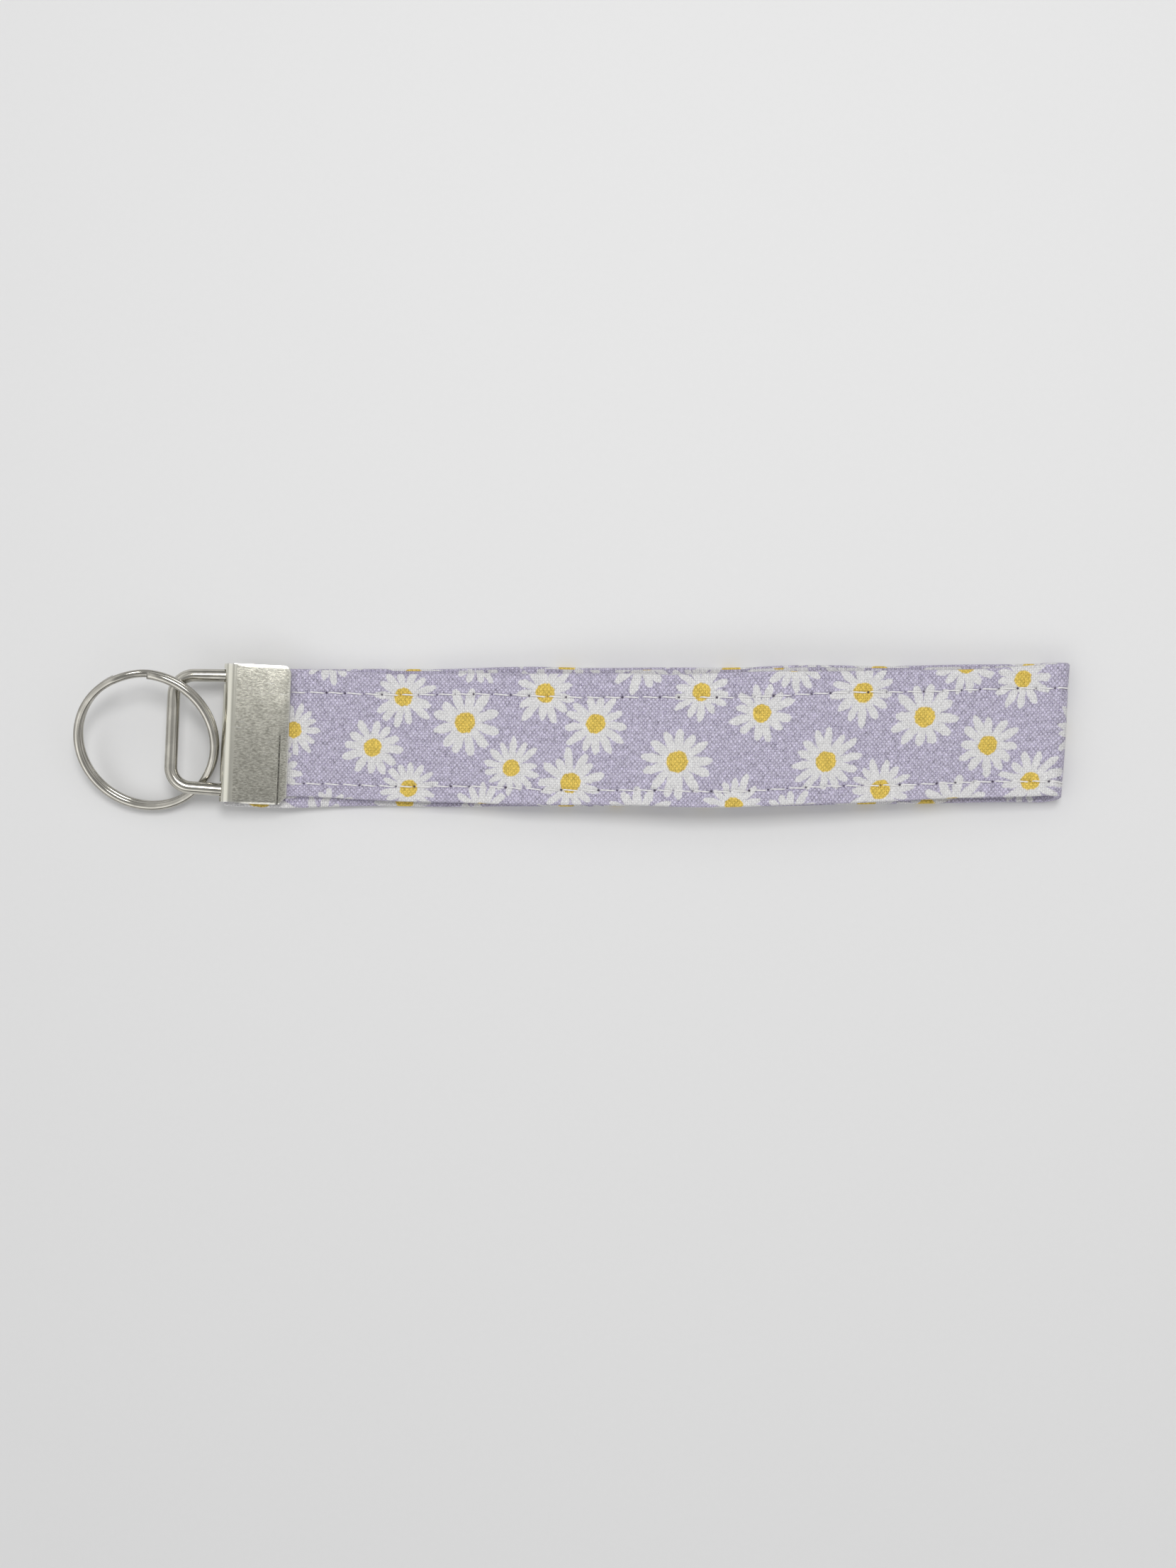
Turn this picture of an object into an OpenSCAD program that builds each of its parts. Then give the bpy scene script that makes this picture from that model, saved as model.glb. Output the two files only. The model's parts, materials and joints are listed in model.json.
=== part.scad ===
// Wristlet keychain: a folded, topstitched cotton strap pinched in a sheet-metal clamp,
// with a wire bail hinged in the clamp's knuckle and a two-turn split ring on the bail.
// Millimetres. X runs from the ring to the fold of the strap, Z is up, and z = 0 is the table.

/* [Split ring] */
// Outside diameter of the split ring
ring_od = 27.2; // [24:0.2:31]
// Width of the ring wire, along the radius
ring_wire_w = 1.4; // [1:0.1:1.8]
// Height of one turn of the ring wire
ring_wire_h = 1; // [0.8:0.05:1.3]
// Gap between the two turns
ring_turn_gap = 0.42; // [0.41:0.01:0.6]
// Stretch of the ring, in degrees, where the wire steps from one turn to the other
ring_step = 30; // [24:1:60]
// Direction of that step, in degrees from the clamp's side
ring_step_at = 101; // [80:1:130]
// How far the ring lies off the bail's middle, to the near side
ring_offset = 2.1; // [0:0.1:3]

/* [Bail] */
// Diameter of the bail wire
bail_wire_d = 2.4; // [2:0.1:2.8]
// Distance from the hinge axis to the outside of the bail's front bar
bail_reach = 12.4; // [11:0.2:15]
// Outside radius of the bail's front corners
bail_corner_r = 5; // [4:0.1:6]
// Inside radius of the bends at the hinge
bail_hinge_bend_r = 0.2; // [0.1:0.05:0.4]
// Gap between the two wire ends inside the knuckle
bail_end_gap = 0.4; // [0.2:0.1:2]
// Swing of the bail up from the clamp's plane, in degrees
bail_swing_up = 3; // [1:1:32]
// Swing of the bail down from the clamp's plane, in degrees
bail_swing_down = 25; // [10:1:32]

/* [Clamp] */
// Length of the clamp from knuckle to lips
clamp_len = 12.5; // [11:0.1:16]
// Thickness of the clamp's sheet metal
sheet_t = 0.8; // [0.5:0.05:1]
// How far the rolled knuckle stands proud of the jaws
knuckle_bulge = 0.05; // [0.03:0.01:0.2]
// Metal left at each end of the knuckle, outside the bail's slots
clamp_end_wall = 0.9; // [0.6:0.1:1.6]
// Room beside the strap at each end of the clamp
clamp_side_room = 0.5; // [0.2:0.1:1.5]
// Length of the lips that are bent in to bite the strap
lip_len = 1.65; // [1.2:0.05:2]
// Bend of the lips, in degrees
lip_bend = 20; // [10:1:25]
// Cut of the lips' corners
lip_corner = 1.4; // [0.5:0.1:2.5]
// Number of notches between the teeth of each lip
tooth_notches = 9; // [3:2:13]
// Depth of those notches
tooth_depth = 0.3; // [0.1:0.05:0.45]
// Tilt of the clamp and bail, whose front is propped up by the ring, in degrees
clamp_tilt = 8; // [5:0.5:10]

/* [Strap] */
// Width of the strap
strap_w = 25; // [22:0.5:30]
// Thickness of one layer of the strap
strap_t = 1.5; // [1.2:0.1:2]
// Length of the strap beyond the clamp's lips
strap_len = 146; // [110:1:180]
// Greatest gap between the two layers of the loop
loop_gap = 5.4; // [4.6:0.1:12]
// Inside radius of the fold at the far end of the loop
fold_inner_r = 1.25; // [0.8:0.05:2]
// Sideways drift of the strap from the clamp to the fold
strap_drift = 6.8; // [0:0.1:12]
// Sideways bow of the upper layer
upper_bow = 1.4; // [0:0.1:3]
// Sideways bow of the lower layer
lower_bow = 0.4; // [0:0.1:3]
// Skew of the fold, in degrees
fold_skew = 1.7; // [-3:0.1:3]
// Cloth at the long edges, outside the interfacing
edge_cloth = 0.9; // [0.6:0.1:2]
// Cloth over each face of the interfacing
face_cloth = 0.45; // [0.4:0.01:0.5]

/* [Topstitching] */
// Distance of the far row of stitches from its edge
far_row_inset = 4.3; // [2:0.1:8]
// Distance of the near row of stitches from its edge
near_row_inset = 3.3; // [2:0.1:8]
// Width of the sewing thread
thread_w = 0.5; // [0.3:0.05:0.7]
// Thickness of the thread as it lies pulled into the cloth
thread_t = 0.2; // [0.1:0.01:0.25]

/* [Clearances] */
// Between the bail wire and the inside of the knuckle
pin_clearance = 0.1; // [0.05:0.01:0.2]
// Beside the bail's legs in the knuckle's slots
leg_clearance = 0.15; // [0.1:0.01:0.3]
// Between the ring and the knuckle
ring_knuckle_gap = 0.4; // [0.3:0.05:1]
// Between the ring and the bail where they cross
crossing_clearance = 0.42; // [0.3:0.02:0.6]
// Between cloth, thread and interfacing, and between the strap and the jaws
cloth_clearance = 0.03; // [0.02:0.01:0.05]
// Between the two layers of the strap in the clamp
layer_clearance = 0.14; // [0.1:0.01:0.3]

/* [Hidden] */
$fn = 96;

// Clamp: the knuckle is rolled round the bail wire, and the jaws go on from it
clamp_w = strap_w + 2 * clamp_side_room;
bail_r = bail_wire_d / 2;
bore_r = bail_r + pin_clearance;
knuckle_r = bore_r + sheet_t;
jaw_half_gap = bore_r - knuckle_bulge;
jaw_half_h = jaw_half_gap + sheet_t;
lip_end_at = clamp_len - knuckle_r;
crease_x = lip_end_at - lip_len;
lip_half_gap = jaw_half_gap - lip_len * tan(lip_bend);
swing_margin = 1;
tooth_pitch = (clamp_w - 2 * lip_corner) / (tooth_notches + 1);

// Bail: half width and front bar of the wire's centreline
bail_half_w = clamp_w / 2 - clamp_end_wall - leg_clearance - bail_r;
front_x = -(bail_reach - bail_r);
corner_line_r = bail_corner_r - bail_r;
hinge_bend_line_r = bail_hinge_bend_r + bail_r;
bail_corner_y = bail_half_w - corner_line_r;
bail_hinge_y = bail_half_w - hinge_bend_line_r;
// The wire is drawn a little thinner in its bends, and each bend starts and ends inside a straight run
bend_thinning = 0.03;
bend_lap = 0.15;

// Ring: two turns, which cross over the bail's far front corner and under its near leg
ring_line_r = (ring_od - ring_wire_w) / 2;
ring_half_h = ring_wire_h + ring_turn_gap / 2;
ring_turn_lift = (ring_wire_h + ring_turn_gap) / 2;
ring_x = -(knuckle_r + ring_knuckle_gap + ring_od / 2);
corner_bite = 30;
far_cross_y = bail_half_w - corner_line_r * (1 - sin(corner_bite));
far_cross_x = front_x + corner_line_r * (1 - cos(corner_bite));
near_cross_y = bail_half_w;
crossing_span = far_cross_y + near_cross_y;
crossing_height = ring_half_h + bail_r + crossing_clearance;
level_tilt = asin(2 * crossing_height / crossing_span);
near_cross_dy = (near_cross_y - ring_offset) / cos(level_tilt);
near_cross_x = ring_x + sqrt(pow(ring_line_r, 2) - pow(near_cross_dy, 2));
crossing_climb = max(0, near_cross_x - far_cross_x) * tan(clamp_tilt);
ring_tilt = asin((2 * crossing_height + crossing_climb * cos(level_tilt)) / crossing_span);
ring_z = ring_od / 2 * sin(ring_tilt) + ring_half_h * cos(ring_tilt);
near_cross_ring_z = ring_z - (near_cross_y - ring_offset) * tan(ring_tilt);
near_cross_bail_z = near_cross_ring_z + crossing_height / cos(ring_tilt);
hinge_z = near_cross_bail_z + near_cross_x * tan(clamp_tilt);

// Strap: half thicknesses in the clamp, at the lips and outside, and the loop's main points.
// The lower layer comes down to the table in a curve that is longer than a straight slope would be.
strap_half_t = strap_t / 2;
jaw_cloth_half_t = (jaw_half_gap - cloth_clearance - layer_clearance / 2) / 2;
lip_cloth_half_t = (lip_half_gap - cloth_clearance - layer_clearance / 2) / 2;
pin_room = 0.8;
raw_end_x = bail_r + pin_room;
lip_room = 0.3;
spring_out = 3.2;
exit_x = lip_end_at + spring_out;
lip_end_x = lip_end_at * cos(clamp_tilt);
fold_line_r = fold_inner_r + strap_half_t;
fold_x = lip_end_x + strap_len - fold_line_r - strap_half_t;
lower_exit_z = hinge_z - exit_x * sin(clamp_tilt) - (strap_half_t + layer_clearance / 2) * cos(clamp_tilt);
settle_ease = 2.6;
settle_len = settle_ease * (lower_exit_z - strap_half_t) / tan(clamp_tilt);
flat_x = exit_x + settle_len;
peak_x = (flat_x + fold_x) / 2;
rest_x = (flat_x + fold_x) / 2;

// Stitch rows, and the grooves that the stitches are pulled into
far_row_y = strap_w / 2 - far_row_inset;
near_row_y = near_row_inset - strap_w / 2;
groove_depth = thread_t + cloth_clearance;
groove_half_w = thread_w / 2 + cloth_clearance;

// Smooth step from 0 to 1
function smooth_step(t) = t <= 0 ? 0 : t >= 1 ? 1 : t * t * (3 - 2 * t);

// A point of the clamp's own plane, turned with the clamp and set at the hinge
function clamp_point(x, z) = [
    x * cos(clamp_tilt) + z * sin(clamp_tilt),
    hinge_z - x * sin(clamp_tilt) + z * cos(clamp_tilt)
];

// Cubic curve between two points of the XZ plane, given with their slopes
function curve_point(a, slope_a, b, slope_b, t) =
    let (
        run = b[0] - a[0],
        z = a[1] * (1 + 2 * t) * pow(1 - t, 2) + b[1] * t * t * (3 - 2 * t)
            + run * slope_a * t * pow(1 - t, 2) - run * slope_b * t * t * (1 - t)
    ) [a[0] + run * t, z];

// Height of the lower layer's middle: down from the clamp in a curve, and then flat on the table
lower_out = clamp_point(exit_x, -(strap_half_t + layer_clearance / 2));
function lower_z(x) =
    x >= flat_x ? strap_half_t
    : let (t = (x - lower_out[0]) / (flat_x - lower_out[0]))
        curve_point(lower_out, -tan(clamp_tilt), [flat_x, strap_half_t], 0, t)[1];

// Height of the upper layer's middle over the lower one's: least at the clamp, most at the loop's peak
upper_out = clamp_point(exit_x, strap_half_t + layer_clearance / 2);
exit_rise = (strap_t + layer_clearance) / cos(clamp_tilt);
peak_rise = strap_t + loop_gap;
fold_rise = 2 * fold_line_r;
function layer_rise(x) =
    x < peak_x
        ? exit_rise + (peak_rise - exit_rise) * smooth_step((x - upper_out[0]) / (peak_x - upper_out[0]))
        : peak_rise + (fold_rise - peak_rise) * smooth_step((x - peak_x) / (fold_x - peak_x));

// One layer of the strap from its raw end to the fold: [point in XZ, half thickness]
function layer_line(side) =
    let (
        jaw_z = side * (jaw_cloth_half_t + layer_clearance / 2),
        lip_z = side * (lip_cloth_half_t + layer_clearance / 2),
        out_x = side < 0 ? lower_out[0] : upper_out[0],
        middle_x = side < 0 ? flat_x : peak_x,
        out_steps = side < 0 ? 9 : 14,
        fold_side_steps = 8,
        xs = concat(
            [for (i = [0:out_steps]) out_x + (middle_x - out_x) * i / out_steps],
            [for (i = [1:fold_side_steps]) middle_x + (fold_x - middle_x) * i / fold_side_steps]
        )
    ) concat(
        [[clamp_point(raw_end_x, jaw_z), jaw_cloth_half_t]],
        [[clamp_point(crease_x - lip_room, jaw_z), jaw_cloth_half_t]],
        [[clamp_point(lip_end_at - lip_room / 2, lip_z), lip_cloth_half_t]],
        [[clamp_point(lip_end_at + lip_room, lip_z), lip_cloth_half_t]],
        [for (x = xs) [[x, lower_z(x) + (side < 0 ? 0 : layer_rise(x))], strap_half_t]]
    );

// The whole strip: lower layer, fold, and the upper layer back to the clamp
function reversed(list) = [for (i = [len(list) - 1:-1:0]) list[i]];
fold_steps = 10;
fold_line = [
    for (i = [1:fold_steps - 1])
        let (a = -90 + 180 * i / fold_steps)
            [[fold_x + fold_line_r * cos(a), strap_half_t + fold_line_r * (1 + sin(a))], strap_half_t]
];
lower_line = layer_line(-1);
upper_line = reversed(layer_line(1));
strip_line = concat(lower_line, fold_line, upper_line);
strip_last = len(strip_line) - 1;
strip_middle = len(lower_line) + fold_steps / 2 - 1;

// Outward normal of the strip in XZ, square to the line through its two neighbours
function strip_normal(i) =
    let (
        before = strip_line[max(i - 1, 0)][0],
        after = strip_line[min(i + 1, strip_last)][0],
        along = (after - before) / norm(after - before)
    ) [along[1], -along[0]];

// Share of the way from the lips to the fold, and the sideways shift there
function strip_share(x) = max(0, (x - lip_end_x) / strap_len);
function sideways(t, bow) = strap_drift * t - bow * 4 * t * max(0, 1 - t);

// A point of the strip: station i, place v across it, height d in half thicknesses
function strip_point(i, v, d) =
    let (
        at = strip_line[i][0],
        out = strip_normal(i) * d * strip_line[i][1],
        t = strip_share(at[0]),
        bow = i < strip_middle ? lower_bow : upper_bow
    ) [at[0] + out[0] + v * tan(fold_skew) * t, sideways(t, bow) + v, at[1] + out[1]];

// Side faces of a skin through rings of m points each, numbered from first
function skin_faces(rings, m, first = 0) = [
    for (i = [0:rings - 2], j = [0:m - 1])
        let (a = first + i * m + j, b = first + i * m + (j + 1) % m)
            each [[a, b, b + m], [a, b + m, a + m]]
];

// A solid bar through sections of equal point count
module swept_bar(sections) {
    rings = len(sections);
    m = len(sections[0]);
    start_cap = [for (j = [m - 1:-1:0]) j];
    end_cap = [for (j = [0:m - 1]) (rings - 1) * m + j];
    polyhedron([for (s = sections) each s], concat(skin_faces(rings, m), [start_cap, end_cap]));
}

// Rectangle across the strip between two places and two heights
function strip_bar(v0, v1, d0, d1) = [
    for (i = [0:strip_last])
        [for (q = [[v0, d0], [v1, d0], [v1, d1], [v0, d1]]) strip_point(i, q[0], q[1])]
];

// Half outline of the cloth: from the far edge to the near edge over one face
edge_round = 0.4;
floor_d = (strap_half_t - groove_depth) / strap_half_t;
edge_d = (strap_half_t - edge_round) / strap_half_t;
function groove_outline(row) = [
    [row + groove_half_w, 1], [row + groove_half_w, floor_d],
    [row - groove_half_w, floor_d], [row - groove_half_w, 1]
];
half_outline = concat(
    [[strap_w / 2, edge_d], [strap_w / 2 - edge_round, 1]],
    groove_outline(far_row_y),
    groove_outline(near_row_y),
    [[edge_round - strap_w / 2, 1], [-strap_w / 2, edge_d]]
);
cloth_outline = concat(half_outline, [for (p = reversed(half_outline)) [p[0], -p[1]]]);

// Space inside the cloth for the interfacing
core_half_w = strap_w / 2 - edge_cloth;
core_d = (strap_half_t - face_cloth) / strap_half_t;
core_outline = [[core_half_w, core_d], [-core_half_w, core_d], [-core_half_w, -core_d], [core_half_w, -core_d]];

// Two turns of the ring: section centre angle and height along the wire
ring_steps = 96;
ring_start = ring_step_at + ring_step / 2;
ring_sweep = 720 - ring_step;
function ring_height(a) =
    ring_turn_lift * (2 * smooth_step((a - ring_start - 360 + ring_step) / ring_step) - 1);
ring_bevel = 0.25;
ring_outline = [
    for (q = [[1, 1], [-1, 1], [-1, -1], [1, -1]])
        let (
            flat = [q[0] * (ring_wire_w / 2 - ring_bevel), q[1] * ring_wire_h / 2],
            side = [q[0] * ring_wire_w / 2, q[1] * (ring_wire_h / 2 - ring_bevel)]
        ) each q[0] * q[1] > 0 ? [side, flat] : [flat, side]
];
ring_sections = [
    for (i = [0:ring_steps])
        let (a = ring_start + ring_sweep * i / ring_steps)
            [for (p = ring_outline)
                [(ring_line_r + p[0]) * cos(a), (ring_line_r + p[0]) * sin(a), ring_height(a) + p[1]]]
];

// Least gap of the ring to itself, between each section and those one turn on
turn_steps = round(ring_steps * 360 / ring_sweep);
ring_least_gap = min([
    for (i = [0:ring_steps - turn_steps], k = [-1:1])
        let (j = i + turn_steps + k)
            if (j <= ring_steps) for (p = ring_sections[i], q = ring_sections[j]) norm(p - q)
]);
echo(ring_least_gap = ring_least_gap, ring_tilt = ring_tilt, ring_z = ring_z);
echo(hinge_z = hinge_z, rest_x = rest_x, ring_x = ring_x, fold_x = fold_x, flat_x = flat_x);

// Everything is placed from the hinge axis, and then moved to the middle of the resting face
module place() {
    translate([-rest_x, 0, 0]) children();
}

// The clamp's own frame: hinge axis along Y at its origin, jaws along X
module in_clamp_frame() {
    place() translate([0, 0, hinge_z]) rotate([0, clamp_tilt, 0]) children();
}

// A shape of the XZ plane drawn out along Y, from y0 to y1
module along_y(y0, y1) {
    translate([0, y1, 0]) rotate([90, 0, 0]) linear_extrude(height = y1 - y0) children();
}

module split_ring() {
    color("silver") place()
        translate([ring_x, -ring_offset, ring_z])
            rotate([ring_tilt, 0, 0])
                swept_bar(ring_sections);
}

// Straight run of bail wire between two points of the XY plane
module wire_run(a, b) {
    translate([a[0], a[1], 0])
        rotate([0, 0, atan2(b[1] - a[1], b[0] - a[0])])
            rotate([0, 90, 0]) cylinder(d = bail_wire_d, h = norm(b - a));
}

// Square bend of bail wire: centre, centreline radius and start angle
module wire_bend(centre, r, start) {
    lap = bend_lap / r * 180 / PI;
    translate([centre[0], centre[1], 0])
        rotate([0, 0, start - lap])
            rotate_extrude(angle = 90 + 2 * lap)
                translate([r, 0]) circle(d = bail_wire_d - bend_thinning);
}

// Half of the bail: corner, leg, hinge bend and hinge pin
module bail_half() {
    wire_bend([front_x + corner_line_r, bail_corner_y], corner_line_r, 90);
    wire_run([front_x + corner_line_r, bail_half_w], [-hinge_bend_line_r, bail_half_w]);
    wire_bend([-hinge_bend_line_r, bail_hinge_y], hinge_bend_line_r, 0);
    wire_run([0, bail_end_gap / 2], [0, bail_hinge_y]);
}

module bail() {
    color("gainsboro") in_clamp_frame() {
        wire_run([front_x, -bail_corner_y], [front_x, bail_corner_y]);
        bail_half();
        mirror([0, 1, 0]) bail_half();
    }
}

// Wedge-ended block between the hinge axis and the lips, of one half height
module jaw_block(half_h) {
    past = lip_end_at + lip_len;
    past_h = half_h - (past - crease_x) * tan(lip_bend);
    polygon([
        [0, half_h], [crease_x, half_h], [past, past_h],
        [past, -past_h], [crease_x, -half_h], [0, -half_h]
    ]);
}

// Room for a bail leg over its whole swing, in the XZ plane
module swing_room() {
    up = bail_swing_up + swing_margin;
    down = bail_swing_down + swing_margin;
    past = 3 * knuckle_r;
    top = bore_r * [sin(up), cos(up)];
    low = bore_r * [sin(down), -cos(down)];
    polygon([top, top + past * [-cos(up), sin(up)], low - past * [cos(down), sin(down)], low]);
}

// Plan of the clamp: lip corners rounded on the far side and cut on the near side
module clamp_plan() {
    x0 = -knuckle_r - 1;
    x1 = lip_end_at;
    y1 = clamp_w / 2;
    polygon(concat(
        [[x0, y1], [x0, -y1], [x1 - lip_corner, -y1], [x1, lip_corner - y1]],
        [for (a = [0:15:90]) [x1 - lip_corner, y1 - lip_corner] + lip_corner * [cos(a), sin(a)]]
    ));
}

// Notches on the inner face of one lip, which leave teeth between them
module lip_notches() {
    side = tooth_depth * sqrt(2);
    for (i = [1:tooth_notches])
        translate([crease_x, -clamp_w / 2 + lip_corner + i * tooth_pitch, jaw_half_gap])
            rotate([0, lip_bend, 0])
                rotate([45, 0, 0])
                    translate([lip_len / 2, -side / 2, -side / 2]) cube([lip_len, side, side]);
}

module clamp() {
    slot_in = bail_hinge_y - leg_clearance;
    slot_out = bail_half_w + bail_r + leg_clearance;
    half_w = clamp_w / 2;
    color("darkgray") in_clamp_frame() difference() {
        intersection() {
            union() {
                along_y(-half_w, half_w) circle(r = knuckle_r);
                along_y(-half_w, half_w) jaw_block(jaw_half_h);
            }
            translate([0, 0, -2 * knuckle_r]) linear_extrude(height = 4 * knuckle_r) clamp_plan();
        }
        along_y(-clamp_w, clamp_w) circle(r = bore_r);
        along_y(-clamp_w, clamp_w) jaw_block(jaw_half_gap);
        along_y(slot_in, slot_out) swing_room();
        along_y(-slot_out, -slot_in) swing_room();
        lip_notches();
        mirror([0, 0, 1]) lip_notches();
    }
}

// Cotton cover: one skin outside, one round the core, and a C-shaped half cap twice at each end
module strap_fabric() {
    rings = strip_last + 1;
    m = len(cloth_outline);
    n = len(core_outline);
    half = m / 2;
    inner = rings * m;
    outer_points = [for (i = [0:strip_last]) each [for (p = cloth_outline) strip_point(i, p[0], p[1])]];
    inner_points = [for (i = [0:strip_last]) each [for (p = core_outline) strip_point(i, p[0], p[1])]];
    function half_caps(ring) =
        let (o = ring * m, c = inner + ring * n) [
            concat([for (j = [0:half - 1]) o + j], [c + 1, c]),
            concat([for (j = [half:m - 1]) o + j], [c + 3, c + 2]),
            [o + half - 1, o + half, c + 2, c + 1],
            [o + m - 1, o, c, c + 3]
        ];
    inner_faces = [for (f = skin_faces(rings, n, inner)) reversed(f)];
    start_caps = [for (f = half_caps(0)) reversed(f)];
    color("thistle") place() polyhedron(
        concat(outer_points, inner_points),
        concat(skin_faces(rings, m), inner_faces, start_caps, half_caps(strip_last))
    );
}

module strap_interfacing() {
    v = core_half_w - cloth_clearance;
    d = core_d - cloth_clearance / strap_half_t;
    color("white") place() swept_bar(strip_bar(v, -v, d, -d));
}

// One row of thread, laid in the groove of one face: side 1 is the loop's outside
module thread_row(row, side) {
    low = floor_d + cloth_clearance / 2 / strap_half_t;
    high = low + thread_t / strap_half_t;
    v = thread_w / 2;
    near_d = side > 0 ? high : -low;
    far_d = side > 0 ? low : -high;
    place() swept_bar(strip_bar(row + v, row - v, near_d, far_d));
}

module needle_thread_far() {
    color("white") thread_row(far_row_y, 1);
}

module needle_thread_near() {
    color("white") thread_row(near_row_y, 1);
}

module bobbin_thread_far() {
    color("white") thread_row(far_row_y, -1);
}

module bobbin_thread_near() {
    color("white") thread_row(near_row_y, -1);
}

split_ring();
bail();
clamp();
strap_fabric();
strap_interfacing();
needle_thread_far();
needle_thread_near();
bobbin_thread_far();
bobbin_thread_near();
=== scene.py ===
# %% [markdown]
# A wristlet keychain is a strip of printed cotton, folded and topstitched, bent over into a loop and
# pinched in a little sheet-metal clamp. A wire bail is hinged in the clamp, and a split ring hangs on it.
# This lesson dresses the imported parts, one piece after the other. The imported parts are the frame: they say
# where everything is and how it moves, so the first step only loads them.

import json
import math

import bpy
import numpy as np
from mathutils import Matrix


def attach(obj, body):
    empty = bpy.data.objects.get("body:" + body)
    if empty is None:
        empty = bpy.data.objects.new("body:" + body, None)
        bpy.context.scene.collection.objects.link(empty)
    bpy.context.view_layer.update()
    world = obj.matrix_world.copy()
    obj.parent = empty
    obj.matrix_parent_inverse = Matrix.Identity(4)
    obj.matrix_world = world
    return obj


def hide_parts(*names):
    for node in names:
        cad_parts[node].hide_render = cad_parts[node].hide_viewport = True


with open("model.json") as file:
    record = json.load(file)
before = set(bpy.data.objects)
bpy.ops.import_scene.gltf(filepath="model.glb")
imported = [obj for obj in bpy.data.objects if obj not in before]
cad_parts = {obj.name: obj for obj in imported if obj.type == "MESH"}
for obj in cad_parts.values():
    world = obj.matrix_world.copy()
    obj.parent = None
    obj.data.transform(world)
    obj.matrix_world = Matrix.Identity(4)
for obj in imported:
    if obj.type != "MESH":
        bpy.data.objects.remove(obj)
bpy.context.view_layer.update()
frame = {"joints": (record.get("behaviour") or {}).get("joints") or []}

# %% [markdown]
# Lengths in this script are millimetres, as on a workshop drawing, and a mesh gets them in metres. The two
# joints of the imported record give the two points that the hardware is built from: the hinge of the bail
# and the middle of the ring. The clamp leans, because the ring under the bail props its front up.

# %% Units and the points that the pieces share
MM = 0.001
joint_at = {j["name"]: np.array(j["pos_m"]) / MM for j in frame["joints"]}
HINGE = joint_at["bail_swing"]
RING_MIDDLE = joint_at["ring_flip"]
CLAMP_TILT = math.radians(8.0)
RING_TILT = math.radians(18.352)


def smooth(t):
    """Smooth step: 3t^2 - 2t^3 with t held between 0 and 1."""
    t = np.clip(t, 0.0, 1.0)
    return t * t * (3.0 - 2.0 * t)


def from_clamp(points):
    """Clamp's own frame to the shared frame: turned by the tilt about Y, then moved to the hinge."""
    x, y, z = np.moveaxis(np.asarray(points, float), -1, 0)
    c, s = math.cos(CLAMP_TILT), math.sin(CLAMP_TILT)
    return np.stack([HINGE[0] + x * c + z * s, HINGE[1] + y, HINGE[2] - x * s + z * c], axis=-1)


print("hinge at", HINGE.round(2), "ring at", RING_MIDDLE.round(2))

# %% [markdown]
# The camera comes next, because every later choice of detail is judged through it. The picture looks
# almost straight down from a third of a metre away. Its place was fitted to the corners of the clamp, the
# ends of the ring and the edges of the strap, so the numbers below are a place, a turn and a focal length.

# %% Camera
PICTURE_H = 2212
FOCAL_PX = 2377.55
SENSOR = 36.0
CAMERA_AT = (-20.207, -8.156, 320.76)
CAMERA_TURN_DEG = (0.299, 1.160, 2.404)

camera_data = bpy.data.cameras.new("camera")
camera_data.sensor_width = SENSOR
camera_data.lens = SENSOR * FOCAL_PX / PICTURE_H
camera_data.clip_start = 0.01
camera = bpy.data.objects.new("camera", camera_data)
camera.location = [v * MM for v in CAMERA_AT]
camera.rotation_euler = [math.radians(v) for v in CAMERA_TURN_DEG]
bpy.context.scene.collection.objects.link(camera)
bpy.context.scene.camera = camera
print("camera lens %.2f mm" % camera_data.lens)

# %% [markdown]
# Every new piece here is a grid of points: rows along the piece, columns across or around it. One helper
# turns such a grid into a mesh. It closes the columns into a tube where asked, caps the two ends, drops
# faces that a cut-out removes, and turns the faces outwards by the sign of the enclosed volume. It can also
# store a UV map and named marks, such as where a needle went through, for the materials to read.

# %% Grid to mesh
def grid_faces(rows, cols, closed):
    """Quads between neighbouring rows and columns, as corner numbers (row, column) of the grid."""
    i, j = np.meshgrid(np.arange(rows - 1), np.arange(cols if closed else cols - 1), indexing="ij")
    corners = [(i, j), (i, j + 1), (i + 1, j + 1), (i + 1, j)]
    return np.stack([np.stack(c, axis=-1) for c in corners], axis=-2).reshape(-1, 4, 2)


def enclosed(points, faces):
    """Six times the volume inside: the sum of a . (b x c) over the two triangles of each quad."""
    a, b, c, d = (points[faces[:, k]] for k in range(4))
    return np.sum(a * np.cross(b, c)) + np.sum(a * np.cross(c, d))


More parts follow.
